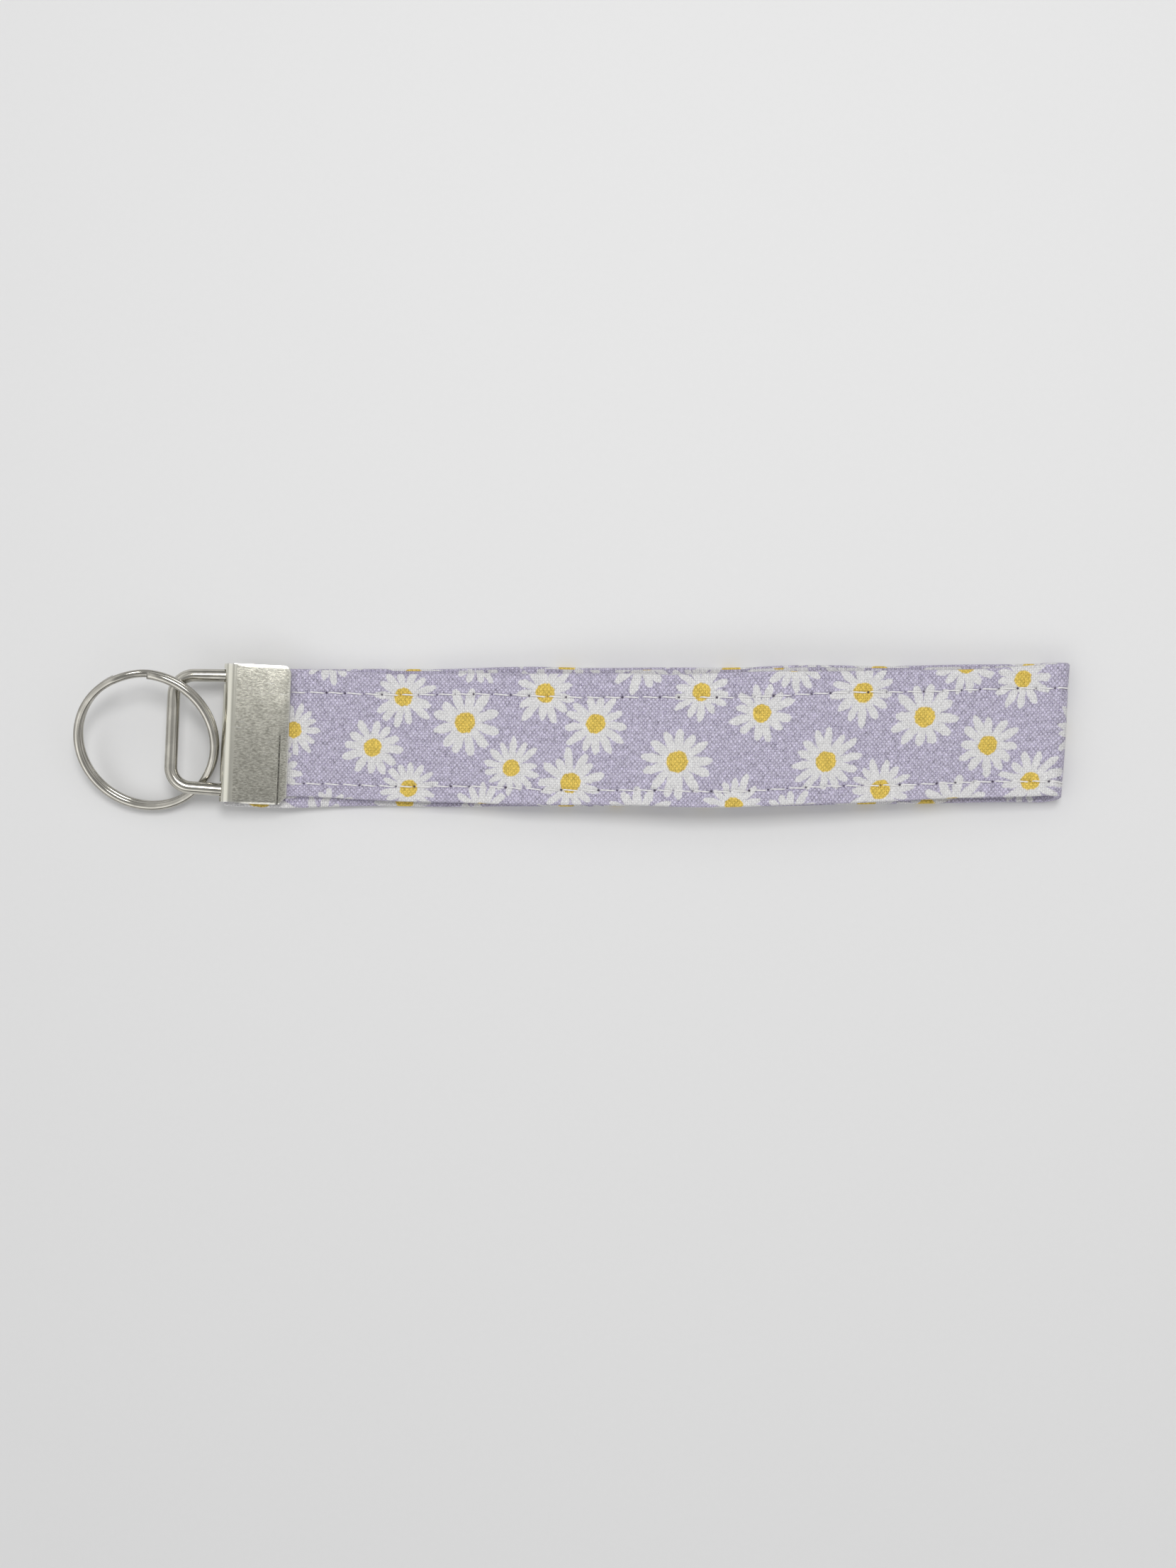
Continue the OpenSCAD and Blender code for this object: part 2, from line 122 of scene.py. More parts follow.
def new_piece(name, points, closed=True, uv=None, marks=None, keep=None):
    """A mesh object from a (rows, columns, 3) grid in millimetres."""
    rows, cols = points.shape[:2]
    corners = grid_faces(rows, cols, closed)
    if keep is not None:
        corners = corners[keep.ravel()]
    quads = corners[..., 0] * cols + corners[..., 1] % cols
    flat = points.reshape(-1, 3)
    inside_out = closed and enclosed(flat, quads) < 0
    if inside_out:
        quads, corners = quads[:, ::-1], corners[:, ::-1]
    used, renamed = np.unique(quads, return_inverse=True)
    faces = renamed.reshape(quads.shape).tolist()
    if closed:
        ends = [list(range(cols))[::-1], list(range((rows - 1) * cols, rows * cols))]
        faces += [end[::-1] for end in ends] if inside_out else ends
    mesh = bpy.data.meshes.new(name)
    mesh.from_pydata(flat[used] * MM, [], faces)
    if uv is not None:
        loops = uv[corners[..., 0], corners[..., 1]].reshape(-1, 2)
        layer = mesh.uv_layers.new(name="cloth")
        spare = np.zeros((len(mesh.loops) - len(loops), 2))
        layer.data.foreach_set("uv", np.concatenate([loops, spare]).astype(np.float32).ravel())
    for mark, values in (marks or {}).items():
        layer = mesh.attributes.new(mark, "FLOAT", "POINT")
        layer.data.foreach_set("value", values.reshape(-1)[used].astype(np.float32))
    mesh.shade_smooth()
    mesh.validate()
    piece = bpy.data.objects.new(name, mesh)
    bpy.context.scene.collection.objects.link(piece)
    print(name, "has", len(mesh.vertices), "points and", len(mesh.polygons), "faces")
    return piece


def finish_piece(piece, material, body, slot, *nodes):
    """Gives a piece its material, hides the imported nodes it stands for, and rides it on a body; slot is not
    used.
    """
    piece.data.materials.append(material)
    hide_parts(*nodes)
    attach(piece, body)


# %% [markdown]
# Wires, rings and threads are profiles carried along a path. At each point of the path the profile needs
# two directions to lie in. Here one of them is given with the path, as up is for a flat bail, and the
# cross product with the path's own direction gives the other, so the profile can't twist by accident.

# %% Profile along a path
UP = np.array([0.0, 0.0, 1.0])


def unit(v):
    """Each vector divided by its length."""
    return v / np.linalg.norm(v, axis=-1, keepdims=True)


def run_length(path):
    """Length of a path up to each of its points: the running sum of the distances between neighbours."""
    return np.concatenate([[0], np.cumsum(np.linalg.norm(np.diff(path, axis=0), axis=1))])


def sweep(path, up, across, high):
    """Path point + across * side + high * up, where side is the path's direction crossed with up."""
    along = unit(np.gradient(path, axis=0))
    side = unit(np.cross(along, up))
    up = np.cross(side, along)
    return path[:, None] + across[..., None] * side[:, None] + high[..., None] * up[:, None]


def oval(sides, half_w, half_h, squareness=2.0):
    """Superellipse |x/w|^n + |y/h|^n = 1 at equal angles; n = 2 is round, more is squarer."""
    a = np.linspace(0.0, 2 * np.pi, sides, endpoint=False)
    x, y = np.cos(a), np.sin(a)
    r = (np.abs(x) ** squareness + np.abs(y) ** squareness) ** (-1.0 / squareness)
    return half_w * r * x, half_h * r * y


def rounded_line(points, radii, step):
    """Straight runs joined by circular arcs: an arc of radius r starts r * tan(turn / 2) before a corner."""
    points = [np.array(p, float) for p in points]
    line = [points[0]]
    for before, corner, after, r in zip(points, points[1:], points[2:], radii):
        a, b = unit(before - corner), unit(after - corner)
        half = 0.5 * math.acos(float(np.clip(a @ b, -1, 1)))
        centre = corner + unit(a + b) * r / math.sin(half)
        start, end = corner + a * r / math.tan(half), corner + b * r / math.tan(half)
        turn = math.pi - 2 * half
        t = np.linspace(0, 1, 40)[:, None]
        u, v = start - centre, end - centre
        line += list(centre + (np.sin((1 - t) * turn) * u + np.sin(t * turn) * v) / math.sin(turn))
    line = np.array(line + [points[-1]])
    s = run_length(line)
    even = np.linspace(0, s[-1], int(s[-1] / step))
    return np.stack([np.interp(even, s, line[:, k]) for k in range(line.shape[1])], axis=-1)


# %% [markdown]
# The materials are made of nodes, and wiring nodes by hand is wordy. A small helper places a node, sets
# its sockets from numbers or from other nodes' outputs, and hands back what it puts out. Such an output is
# called a signal here, and signals can be added, taken away, multiplied and divided like numbers. The rest
# of the lesson can then write a formula almost as it would be written on paper.

# %% Wiring helper
class Signal:
    """What a node puts out; the signs of arithmetic place a node for the sum."""

    def __init__(self, wiring, socket):
        self.wiring, self.socket = wiring, socket

    def __add__(self, other):
        return self.wiring.math("ADD", self, other)

    def __sub__(self, other):
        return self.wiring.math("SUBTRACT", self, other)

    def __rsub__(self, other):
        return self.wiring.math("SUBTRACT", other, self)

    def __mul__(self, other):
        return self.wiring.math("MULTIPLY", self, other)

    def __truediv__(self, other):
        return self.wiring.math("DIVIDE", self, other)

    def __rtruediv__(self, other):
        return self.wiring.math("DIVIDE", other, self)


def plug(tree, inputs, sockets):
    """Links each socket, by name or number, to a signal, or sets it to a plain value."""
    for key, value in sockets.items():
        if isinstance(value, Signal):
            tree.links.new(value.socket, inputs[key])
        else:
            inputs[key].default_value = value


class Wiring:
    """Places nodes in one tree; a socket takes a number, a colour, a vector or a signal."""

    def __init__(self, tree):
        self.tree = tree

    def signals(self, sockets):
        """Outputs of a node as signals, by name and by number."""
        found = [Signal(self, socket) for socket in sockets]
        return {signal.socket.name: signal for signal in found} | dict(enumerate(found))

    def node(self, kind, sockets=None, **settings):
        """The signals of a new node with these settings and sockets."""
        made = self.tree.nodes.new("ShaderNode" + kind)
        for key, value in settings.items():
            setattr(made, key, value)
        plug(self.tree, made.inputs, sockets or {})
        return self.signals(made.outputs)

    def math(self, operation, a, b=0.0, c=0.0):
        """One sum of numbers."""
        return self.node("Math", {0: a, 1: b, 2: c}, operation=operation)[0]

    def step(self, value, low, high):
        """Smooth step from 0 at low to 1 at high, also with low above high."""
        sockets = {0: value, 1: low, 2: high, 3: 0.0, 4: 1.0}
        return self.node("MapRange", sockets, interpolation_type="SMOOTHSTEP")[0]

    def vector(self, operation, a, b):
        """One sum of vectors."""
        return self.node("VectorMath", {0: a, 1: b}, operation=operation)[0]

    def scaled(self, a, factor):
        """A vector times a number."""
        return self.node("VectorMath", {0: a, "Scale": factor}, operation="SCALE")[0]

    def blend(self, factor, a, b):
        """Two numbers mixed by a factor."""
        return self.node("Mix", {0: factor, 2: a, 3: b})[0]

    def mix(self, factor, a, b, blend_type="MIX"):
        """Two colours mixed by a factor."""
        return self.node("Mix", {0: factor, 6: a, 7: b}, data_type="RGBA", blend_type=blend_type)[2]

    def noise(self, vector, scale, detail=2.0, roughness=0.5):
        """Cloudy noise from 0 to 1."""
        sockets = {"Vector": vector, "Scale": scale, "Detail": detail, "Roughness": roughness}
        return self.node("TexNoise", sockets)[0]

    def bump(self, strength, depth, height):
        """A relief of this depth in millimetres, at some strength."""
        return self.node("Bump", {"Strength": strength, "Distance": depth * MM, "Height": height})[0]

    def place(self):
        """The point on the piece itself, in millimetres."""
        return self.scaled(self.node("TexCoord")["Object"], 1.0 / MM)

    def mark(self, name):
        """A mark that the piece's mesh carries."""
        return self.node("Attribute", attribute_name=name)["Fac"]

    def group(self, tree, sockets):
        """The signals of a placed node group."""
        return self.node("Group", sockets, node_tree=tree)


# %% [markdown]
# Two kinds of tree are wired this way: the materials, and the node groups for effects that can be shared.

# %% Groups and materials
def new_group(name, inputs):
    """A node group's wiring and its inputs, given as name: default, with None for a vector."""
    tree = bpy.data.node_groups.new(name, "ShaderNodeTree")
    for label, default in inputs.items():
        kind = "NodeSocketVector" if default is None else "NodeSocketFloat"
        socket = tree.interface.new_socket(name=label, in_out="INPUT", socket_type=kind)
        if default is not None:
            socket.default_value = default
    w = Wiring(tree)
    return w, w.signals(tree.nodes.new("NodeGroupInput").outputs)


def close_group(w, outputs):
    """Ends a node group with one number out for each named signal, and gives the group back."""
    for label in outputs:
        w.tree.interface.new_socket(name=label, in_out="OUTPUT", socket_type="NodeSocketFloat")
    plug(w.tree, w.tree.nodes.new("NodeGroupOutput").inputs, outputs)
    print("group:", w.tree.name)
    return w.tree


def new_material(name):
    """A material with one Principled shader, and its wiring."""
    material = bpy.data.materials.new(name)
    material.use_nodes = True
    return material, Wiring(material.node_tree)


def dress(material, sockets):
    """Links or sets the shader's sockets, and gives the material back."""
    tree = material.node_tree
    plug(tree, tree.nodes["Principled BSDF"].inputs, sockets)
    print("material:", material.name)
    return material


# %% [markdown]
# The cloth is a plain weave: each yarn passes over one and under the next. A photograph could be tiled
# over the strap, but a formula stays sharp at any size. A yarn is half a sine wave across, and along it
# another half wave lifts it where it lies on top and lowers it where it dives, in turns like the squares of a
# checkerboard. The higher of warp and weft is what shows, and the low corners are the little gaps, where
# shade is painted. Spun yarn is never even, so stretched noise first pushes the yarns sideways, and the same
# kind of noise makes each yarn lighter and darker along its length. The weft catches more light than the warp,
# and that light is painted as a faint checkerboard on the crowns. Every gap is more or less open, so its
# painted shade is more or less deep, and a fainter painted shade runs along the yarns' sides. All is in
# millimetres of the cloth's own UV map.

# %% Plain weave group
def slub(w, cloth, stretch):
    """Unevenness of the yarns, about -0.5 to 0.5: noise that is long along a yarn and short across it."""
    return w.noise(w.vector("MULTIPLY", cloth, stretch), 1.0, 2.0, 0.6) - 0.5


def plain_weave():
    """Height, painted gap shade and tone of a plain weave: the higher of two sets of rising and diving sine
    humps; the tone holds painted crown light.
    """
    inputs = {"Cloth": None, "Warp Pitch": 0.39, "Weft Pitch": 0.45, "Unevenness": 0.46}
    w, given = new_group("plain weave", inputs)
    cloth, uneven = given["Cloth"], given["Unevenness"]
    at = w.node("SeparateXYZ", {0: cloth})
    u = (slub(w, cloth, (2.4, 0.45, 1.0)) * uneven + at["X"]) / given["Warp Pitch"]
    v = (slub(w, cloth, (0.45, 2.4, 1.0)) * uneven + at["Y"]) / given["Weft Pitch"]
    weft_over = w.math("FLOORED_MODULO", w.math("FLOOR", u) + w.math("FLOOR", v), 2.0)
    sign = 0.5 - weft_over
    hump_u = w.math("SINE", w.math("FRACT", u) * math.pi)
    hump_v = w.math("SINE", w.math("FRACT", v) * math.pi)
    height = w.math("MAXIMUM", hump_u * (sign * hump_v + 0.5), hump_v * (0.5 - sign * hump_u))
    warp_tone, weft_tone = slub(w, cloth, (2.9, 1.1, 1.0)), slub(w, cloth, (1.1, 2.9, 7.0))
    # Painted light: weft crowns lighter and warp crowns darker, a faint checkerboard
    crown_light_checkerboard = hump_u * hump_v * sign * -0.6
    tone_and_crown_light = w.blend(weft_over, warp_tone, weft_tone) * 1.5 + (crown_light_checkerboard + 0.5)
    corner = w.node("CombineXYZ", {0: w.math("ROUND", u), 1: w.math("ROUND", v)})[0]
    openness = w.node("TexWhiteNoise", {"Vector": corner}, noise_dimensions="2D")["Value"]
    # Painted shade in the gaps at the yarns' corners, and a fainter one along their sides
    beside_u, beside_v = w.step(hump_u, 0.85, 0.15), w.step(hump_v, 0.85, 0.15)
    hole = beside_u * beside_v * (openness * 0.9 + 0.5)
    groove_shade = w.math("MAXIMUM", beside_u, beside_v * 0.4) * 0.12
    gap_shade = w.math("MINIMUM", hole + groove_shade, 1.0)
    return close_group(w, {"Height": height, "Gap": gap_shade, "Tone": tone_and_crown_light})


weave_group = plain_weave()

# %% [markdown]
# The print is a field of tossed daisies, an old cotton motif. They could be placed one by one, but a
# Voronoi texture scatters them: the nearest cell point is a daisy's middle, the cell's colour gives it a
# turn and a number of petals, and the largest circle that fits in the cell gives its size, so no two
# daisies run into each other. In polar coordinates round the middle each petal is an ellipse, and a white
# noise number for each petal makes it longer or shorter and moves it a little, as a brush would.

# %% Daisy print group
def daisy_print():
    """Petal, centre and line masks of daisies: ellipses in equal sectors round Voronoi cell points."""
    inputs = {"Cloth": None, "Spacing": 13.0, "Largest": 7.0, "Smallest": 5.4}
    w, given = new_group("daisy print", inputs)
    cloth, spacing = given["Cloth"], given["Spacing"]
    # An unsteady brush shakes all outlines
    brush = w.node("TexNoise", {"Vector": cloth, "Scale": 0.9, "Detail": 3.0, "Roughness": 0.72})[1]
    shake = w.scaled(w.vector("SUBTRACT", brush, (0.5, 0.5, 0.5)), 0.95)
    shaken = w.vector("ADD", cloth, shake)
    turned = w.node("VectorRotate", {"Vector": shaken, "Angle": 0.47}, rotation_type="Z_AXIS")[0]
    # A daisy in each cell, as large as the cell has room for
    grid = w.scaled(turned, 1.0 / spacing)
    scatter = {"Vector": grid, "Scale": 1.0, "Randomness": 0.36}
    cell = w.node("TexVoronoi", scatter, voronoi_dimensions="2D")
    room = w.node("TexVoronoi", scatter, voronoi_dimensions="2D", feature="N_SPHERE_RADIUS")["Radius"]
    chance = w.node("SeparateColor", {0: cell["Color"]})
    radius = w.math("MAXIMUM", room * spacing * 1.12, given["Smallest"])
    radius = w.math("MINIMUM", radius, given["Largest"])
    # Polar coordinates, in 12 to 14 sectors
    offset = w.scaled(w.vector("SUBTRACT", grid, cell["Position"]), spacing)
    far = w.node("VectorMath", {0: offset}, operation="LENGTH")["Value"]
    at = w.node("SeparateXYZ", {0: offset})
    angle = chance[0] * (2 * math.pi) + w.math("ARCTAN2", at["Y"], at["X"])
    count = w.math("FLOOR", chance[1] * 2.99) + 12.0
    sector = 2 * math.pi / count
    petal = angle / sector
    nearest = w.math("ROUND", petal)
    # One draw for each petal moves it and sets its length
    number = w.math("FLOORED_MODULO", nearest, count)
    seed = w.math("MULTIPLY_ADD", chance[2], 57.0, number)
    draw = w.node("TexWhiteNoise", {"W": seed}, noise_dimensions="1D")
    lean = (w.node("SeparateColor", {0: draw["Color"]})[1] - 0.5) * 0.34
    swing = (petal - nearest + lean) * sector
    length = radius * (draw["Value"] * 0.25 + 0.8)
    out = (far * w.math("COSINE", swing) - length * 0.58) / (length * 0.42)
    side = far * w.math("SINE", swing) / (radius * sector * 0.258)
    ellipse = w.math("POWER", w.math("ABSOLUTE", out), 2.6) + side * side
    # The heart fills the petals' roots, and fine lines part them
    share = far / radius
    petals = w.math("MAXIMUM", w.step(ellipse, 1.14, 0.88), w.step(share, 0.44, 0.36))
    line = w.step(w.math("ABSOLUTE", side), 0.78, 1.05) * w.step(share, 0.24, 0.5)
    return close_group(w, {"Petals": petals, "Centre": w.step(share, 0.305, 0.265), "Line": line})


daisy_group = daisy_print()

# %% [markdown]
# Cotton, sewing thread and interfacing are all fibres, and they share one more effect: a fine uneven fuzz
# that breaks up flat colour. Two noises of different size are enough, one for stray fibres and one for the
# slow changes that washing and handling leave.

# %% Fibre fuzz group
def fibre_fuzz():
    """Height is fine noise for fibres; tone is half of that and half slow noise for handling."""
    w, given = new_group("fibre fuzz", {"Place": None, "Fine": 9.0, "Slow": 0.12})
    fine = w.noise(given["Place"], given["Fine"], 4.0, 0.7)
    slow = w.noise(given["Place"], given["Slow"], 3.0, 0.6)
    return close_group(w, {"Tone": slow * 0.5 + fine * 0.5, "Height": fine})


fuzz_group = fibre_fuzz()

# %% [markdown]
# Now the cotton itself. Lavender, petal white and centre yellow are mixed by the masks of the print, and
# each turns to a darker colour in the little gaps between the yarns, as painted shade. Dyed yarn shows its
# unevenness, and printed yarn shows it less; the weave's tone, with its painted crown light, is evened the
# same way. Needle holes are a mark that the strap's mesh will carry, so the material only has to paint shade
# where the mark says, with an edge frayed by the fuzz. Cotton hardly shines, so the shader is rough, with a
# little sheen at grazing angles.

# %% Printed cotton
LAVENDER = (0.496, 0.466, 0.572, 1.0)
# Colours for the weave's gaps are painted shade; the deep lavender also prints the lines between petals
LAVENDER_LINE_AND_GAP_SHADE = (0.240, 0.204, 0.331, 1.0)
PETAL_WHITE = (0.732, 0.725, 0.723, 1.0)
PETAL_GAP_SHADE = (0.455, 0.444, 0.465, 1.0)
CENTRE_YELLOW = (0.722, 0.532, 0.114, 1.0)
CENTRE_GAP_SHADE = (0.430, 0.268, 0.038, 1.0)
HOLE_SHADE = (0.085, 0.070, 0.100, 1.0)


def printed_cotton():
    """Print colours by masks, each with painted shade in the weave's gaps; fuzz, petal lines and painted shade
    in the needle holes on top.
    """
    material, w = new_material("printed cotton")
    cloth = w.node("UVMap", uv_map="cloth")[0]
    daisy = w.group(daisy_group, {"Cloth": cloth})
    weave = w.group(weave_group, {"Cloth": cloth})
    fuzz = w.group(fuzz_group, {"Place": cloth, "Fine": 6.0, "Slow": 0.9})
    petals, centre, gap_shade = daisy["Petals"], daisy["Centre"], weave["Gap"]
    # Painted shade in the weave's gaps, for each print colour
    colour = w.mix(petals, w.mix(gap_shade, LAVENDER, LAVENDER_LINE_AND_GAP_SHADE), w.mix(gap_shade, PETAL_WHITE, PETAL_GAP_SHADE))
    colour = w.mix(daisy["Line"] * petals * 0.45, colour, LAVENDER_LINE_AND_GAP_SHADE)
    colour = w.mix(centre, colour, w.mix(gap_shade, CENTRE_YELLOW, CENTRE_GAP_SHADE))
    # Unevenness of fibres and yarns, with the weave's painted crown light, less on printed yarn
    dyed = petals * -0.65 + (centre * 0.35 + 1.0)
    unevenness_and_crown_light = ((fuzz["Tone"] - 0.5) * 1.9 + (weave["Tone"] - 0.5) * 0.92) * dyed + 1.0
    grey = w.node("CombineColor", {0: unevenness_and_crown_light, 1: unevenness_and_crown_light, 2: unevenness_and_crown_light})[0]
    colour = w.mix(1.0, colour, grey, "MULTIPLY")
    # Painted shade in the needle holes, with an edge frayed by the fuzz
    frayed_hole_shade = (fuzz["Height"] - 0.5) * 0.9 + w.mark("needle_hole")
    colour = w.mix(w.step(frayed_hole_shade, 0.38, 0.85), colour, HOLE_SHADE)
    return dress(material, {
        "Base Color": colour,
        "Normal": w.bump(0.6, 0.07, fuzz["Height"] * 0.35 + weave["Height"]),
        "Roughness": 0.88,
        "Specular IOR Level": 0.18,
        "Sheen Weight": 0.12,
        "Sheen Roughness": 0.5,
    })


cotton = printed_cotton()

# %% [markdown]
# The strap is one long strip. Its middle line runs from one raw end in the clamp along the table, round the
# fold and back over the top into the clamp again. The lower layer settles on the table in a cubic curve;
# the upper one stands a smooth-step higher, most in the middle of the loop; the fold is half a circle. These
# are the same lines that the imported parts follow, repeated in the same sizes.

# %% Middle line of the strip
STRAP_T = 1.5
STRAP_HALF_W = 12.5
STRAP_LEN = 146.0
LOOP_GAP = 5.4
FOLD_LINE_R = 2.0
LAYER_CLEARANCE = 0.14
LIP_END = 10.4
LIP_END_X = LIP_END * math.cos(CLAMP_TILT)
FOLD_X = LIP_END_X + STRAP_LEN - FOLD_LINE_R - STRAP_T / 2
FLAT_X = 34.306
PEAK_X = 93.928
EXIT_X = 13.6
# Along the clamp: raw end, before the crease, in the lips, past the lips, and free
HELD_X = np.array([1.7, 8.45, 10.25, 10.7, EXIT_X])
HELD_HALF_T = np.array([0.575, 0.575, 0.40, 0.40, STRAP_T / 2])


def held_layer(side):
    """Line in the clamp: half thickness eased between the five stations, the layer just off the middle."""
    x = np.linspace(HELD_X[0], HELD_X[-1], 90)
    k = np.clip(np.searchsorted(HELD_X, x, side="right") - 1, 0, len(HELD_X) - 2)
    t = smooth((x - HELD_X[k]) / (HELD_X[k + 1] - HELD_X[k]))
    half_t = HELD_HALF_T[k] + (HELD_HALF_T[k + 1] - HELD_HALF_T[k]) * t
    z = side * (half_t + LAYER_CLEARANCE / 2)
    at = from_clamp(np.stack([x, 0 * x, z], axis=-1))
    return np.stack([at[:, 0] - HINGE[0], at[:, 2], half_t], axis=-1)


def free_layer(side, start):
    """Line outside: the lower layer is a cubic from the clamp's slope to level; the upper adds its rise."""
    x = np.linspace(start[0], FOLD_X, 600)[1:]
    low_start = held_layer(-1)[-1]
    run = FLAT_X - low_start[0]
    t = np.clip((x - low_start[0]) / run, 0, 1)
    z = low_start[1] * (1 + 2 * t) * (1 - t) ** 2 + STRAP_T / 2 * t * t * (3 - 2 * t)
    z = z - run * math.tan(CLAMP_TILT) * t * (1 - t) ** 2
    if side > 0:
        rise = (STRAP_T + LAYER_CLEARANCE) / math.cos(CLAMP_TILT)
        peak = STRAP_T + LOOP_GAP
        up = rise + (peak - rise) * smooth((x - start[0]) / (PEAK_X - start[0]))
        down = peak + (2 * FOLD_LINE_R - peak) * smooth((x - PEAK_X) / (FOLD_X - PEAK_X))
        z = z + np.where(x < PEAK_X, up, down)
    return np.stack([x, z, np.full_like(x, STRAP_T / 2)], axis=-1)


def strip_line():
    """Lower layer, half circle of the fold, upper layer: columns x from the hinge, z, half thickness."""
    held = {side: held_layer(side) for side in (-1, 1)}
    lower = np.concatenate([held[-1], free_layer(-1, held[-1][-1])])
    upper = np.concatenate([held[1], free_layer(1, held[1][-1])])
    a = np.linspace(-np.pi / 2, np.pi / 2, 60)[1:-1]
    bend_z = STRAP_T / 2 + FOLD_LINE_R * (1 + np.sin(a))
    bend = np.stack([FOLD_X + FOLD_LINE_R * np.cos(a), bend_z, np.full_like(a, STRAP_T / 2)], axis=-1)
    return np.concatenate([lower, bend, upper[::-1]]), len(lower) + len(a) // 2


line, fold_at = strip_line()
line_s = run_length(line[:, :2])
STRIP_LENGTH = line_s[-1]
FOLD_S = line_s[fold_at]
line_along = unit(np.gradient(line[:, :2], line_s, axis=0))
print("strip %.1f mm long, folded at %.1f mm" % (STRIP_LENGTH, FOLD_S))

# %% [markdown]
# Any point of the strap can now be named by three numbers: how far along the strip, how far across, and
# how high over its middle. One function turns those into a place, and the cloth, the stiffening inside it
# and the stitches on it all use it, so they can't drift apart. A real strap isn't ruler straight: it bows
# sideways, the lower layer is a little wider and shows past the upper one, and the edges wander.

# %% A place on the strip
STRAP_DRIFT = 6.8
LOWER_BOW, UPPER_BOW = 0.4, 1.4
FOLD_SKEW = math.tan(math.radians(1.7))
LOWER_EXTRA_W = 0.7
LOWER_SHIFT = -0.1
HELD_SHIFT, HELD_RUN = -0.4, 35.0
CREEP = 2.9
FOLD_EASE = 4.0
# Waves by height, stretch and phase
FAR_EDGE_WAVES = ((0.13, 7.9, 0.7), (0.10, 4.3, 2.0))
NEAR_EDGE_WAVES = ((0.13, 8.7, 1.9), (0.10, 4.9, 0.2))


def waves(s, terms):
    """Sum of height * sin(s / stretch + phase)."""
    return sum(high * np.sin(s / stretch + phase) for high, stretch, phase in terms)


def lower_share(s):
    """1 on the lower layer, 0 on the upper one, eased over the fold."""
    return 1.0 - smooth((s - FOLD_S + FOLD_EASE) / (2 * FOLD_EASE))


def edge_wander(s, v):
    """Slow waves that move only the cloth near an edge, each edge by its own."""
    wander = np.where(v > 0, waves(s, FAR_EDGE_WAVES), -waves(s, NEAR_EDGE_WAVES))
    return wander * np.abs(v / STRAP_HALF_W) ** 4


def ripple(s, v):
    """Shallow waves of the free upper layer, none where the strip is pressed on the table or in the clamp."""
    free = (1.0 - lower_share(s)) * smooth((STRIP_LENGTH - s - 14.0) / 20.0)
    return free * waves(s, ((0.11, 3.9, 0.13 * v), (0.08, 2.3, 1.0 - 0.21 * v)))


def near_inset(t):
    """How far the upper layer's near edge is drawn in: most by the clamp and by the fold."""
    return 0.45 + 0.35 * np.cos(2 * np.pi * (t - 0.05))


def on_table(points):
    """Points with their height held at or above the table, as cloth and thread are pressed flat on it."""
    return np.concatenate([points[..., :2], np.maximum(points[..., 2:], 0.0)], axis=-1)


def strap_place(s, v, d):
    """Line point + d along the outward normal, moved sideways by drift and bow, skewed towards the fold."""
    x, z = (np.interp(s, line_s, line[:, k]) for k in (0, 1))
    ax, az = (np.interp(s, line_s, line_along[:, k]) for k in (0, 1))
    low = lower_share(s)
    t = np.maximum(0.0, (x - LIP_END_X) / STRAP_LEN)
    bow = UPPER_BOW + (LOWER_BOW - UPPER_BOW) * low
    held = 1 - smooth((x - LIP_END_X) / HELD_RUN)
    sideways = STRAP_DRIFT * t - bow * 4 * t * np.maximum(0, 1 - t) + (LOWER_SHIFT + HELD_SHIFT * held) * low
    near = np.clip(-v / STRAP_HALF_W, 0, 1) ** 6
    creep = CREEP * smooth((near - 0.49) / 0.18) * (1 - smooth((s - 1.0) / 7.0))
    v = v * (1 + LOWER_EXTRA_W / STRAP_HALF_W * low) + edge_wander(s, v) + near_inset(t) * near * (1 - low)
    d = d + ripple(s, v)
    place = [HINGE[0] + x + az * d + v * FOLD_SKEW * t - creep, sideways + v, z - ax * d]
    return np.stack(place, axis=-1)


print("middle of the fold:", strap_place(np.array(FOLD_S), np.array(0.0), np.array(0.0)).round(1))

# %% [markdown]
# Across the strip the section is a flat bar with round edges, where the cotton is folded under. The two
# rows of topstitching pull a valley into both faces, and at each needle hole the cloth dips further. Both
# are bell curves added to the flat section. The grid is close where these happen and wide elsewhere, so the
# small dips have enough points without wasting any on the plain cloth.

# %% Section and rows of the strap's grid
STITCH = 3.5
FIRST_HOLE = 1.2
ROWS = {"far": 8.2, "near": -9.2}
ROW_WAVES = ((0.28, 14.0, 1.0), (0.12, 5.1, 0.0))
EDGE_R = 0.62
# Offsets of the grid lines from a row of stitches, and from a needle hole
ROW_LINES = np.array([-1.0, -0.7, -0.48, -0.32, -0.2, -0.1, 0.0, 0.1, 0.2, 0.32, 0.48, 0.7, 1.0])
HOLE_LINES = np.array([-1.4, -0.8, -0.38, -0.16, 0.0, 0.16, 0.38, 0.8, 1.4])


def to_row(v):
    """Distance across the strip to the nearest row."""
    return np.min(np.abs(v[..., None] - np.array(list(ROWS.values()))), axis=-1)


def to_hole(s):
    """Distance along the strip to the nearest needle hole."""
    return (s - FIRST_HOLE + STITCH / 2) % STITCH - STITCH / 2


def face_lines():
    """Places across one face, close together at the two rows."""
    plain = np.linspace(-STRAP_HALF_W + EDGE_R, STRAP_HALF_W - EDGE_R, 27)
    close = np.concatenate([r + ROW_LINES for r in ROWS.values()])
    clear = to_row(plain) > ROW_LINES[-1] + 0.2
    return np.sort(np.concatenate([plain[clear], close]))[::-1]


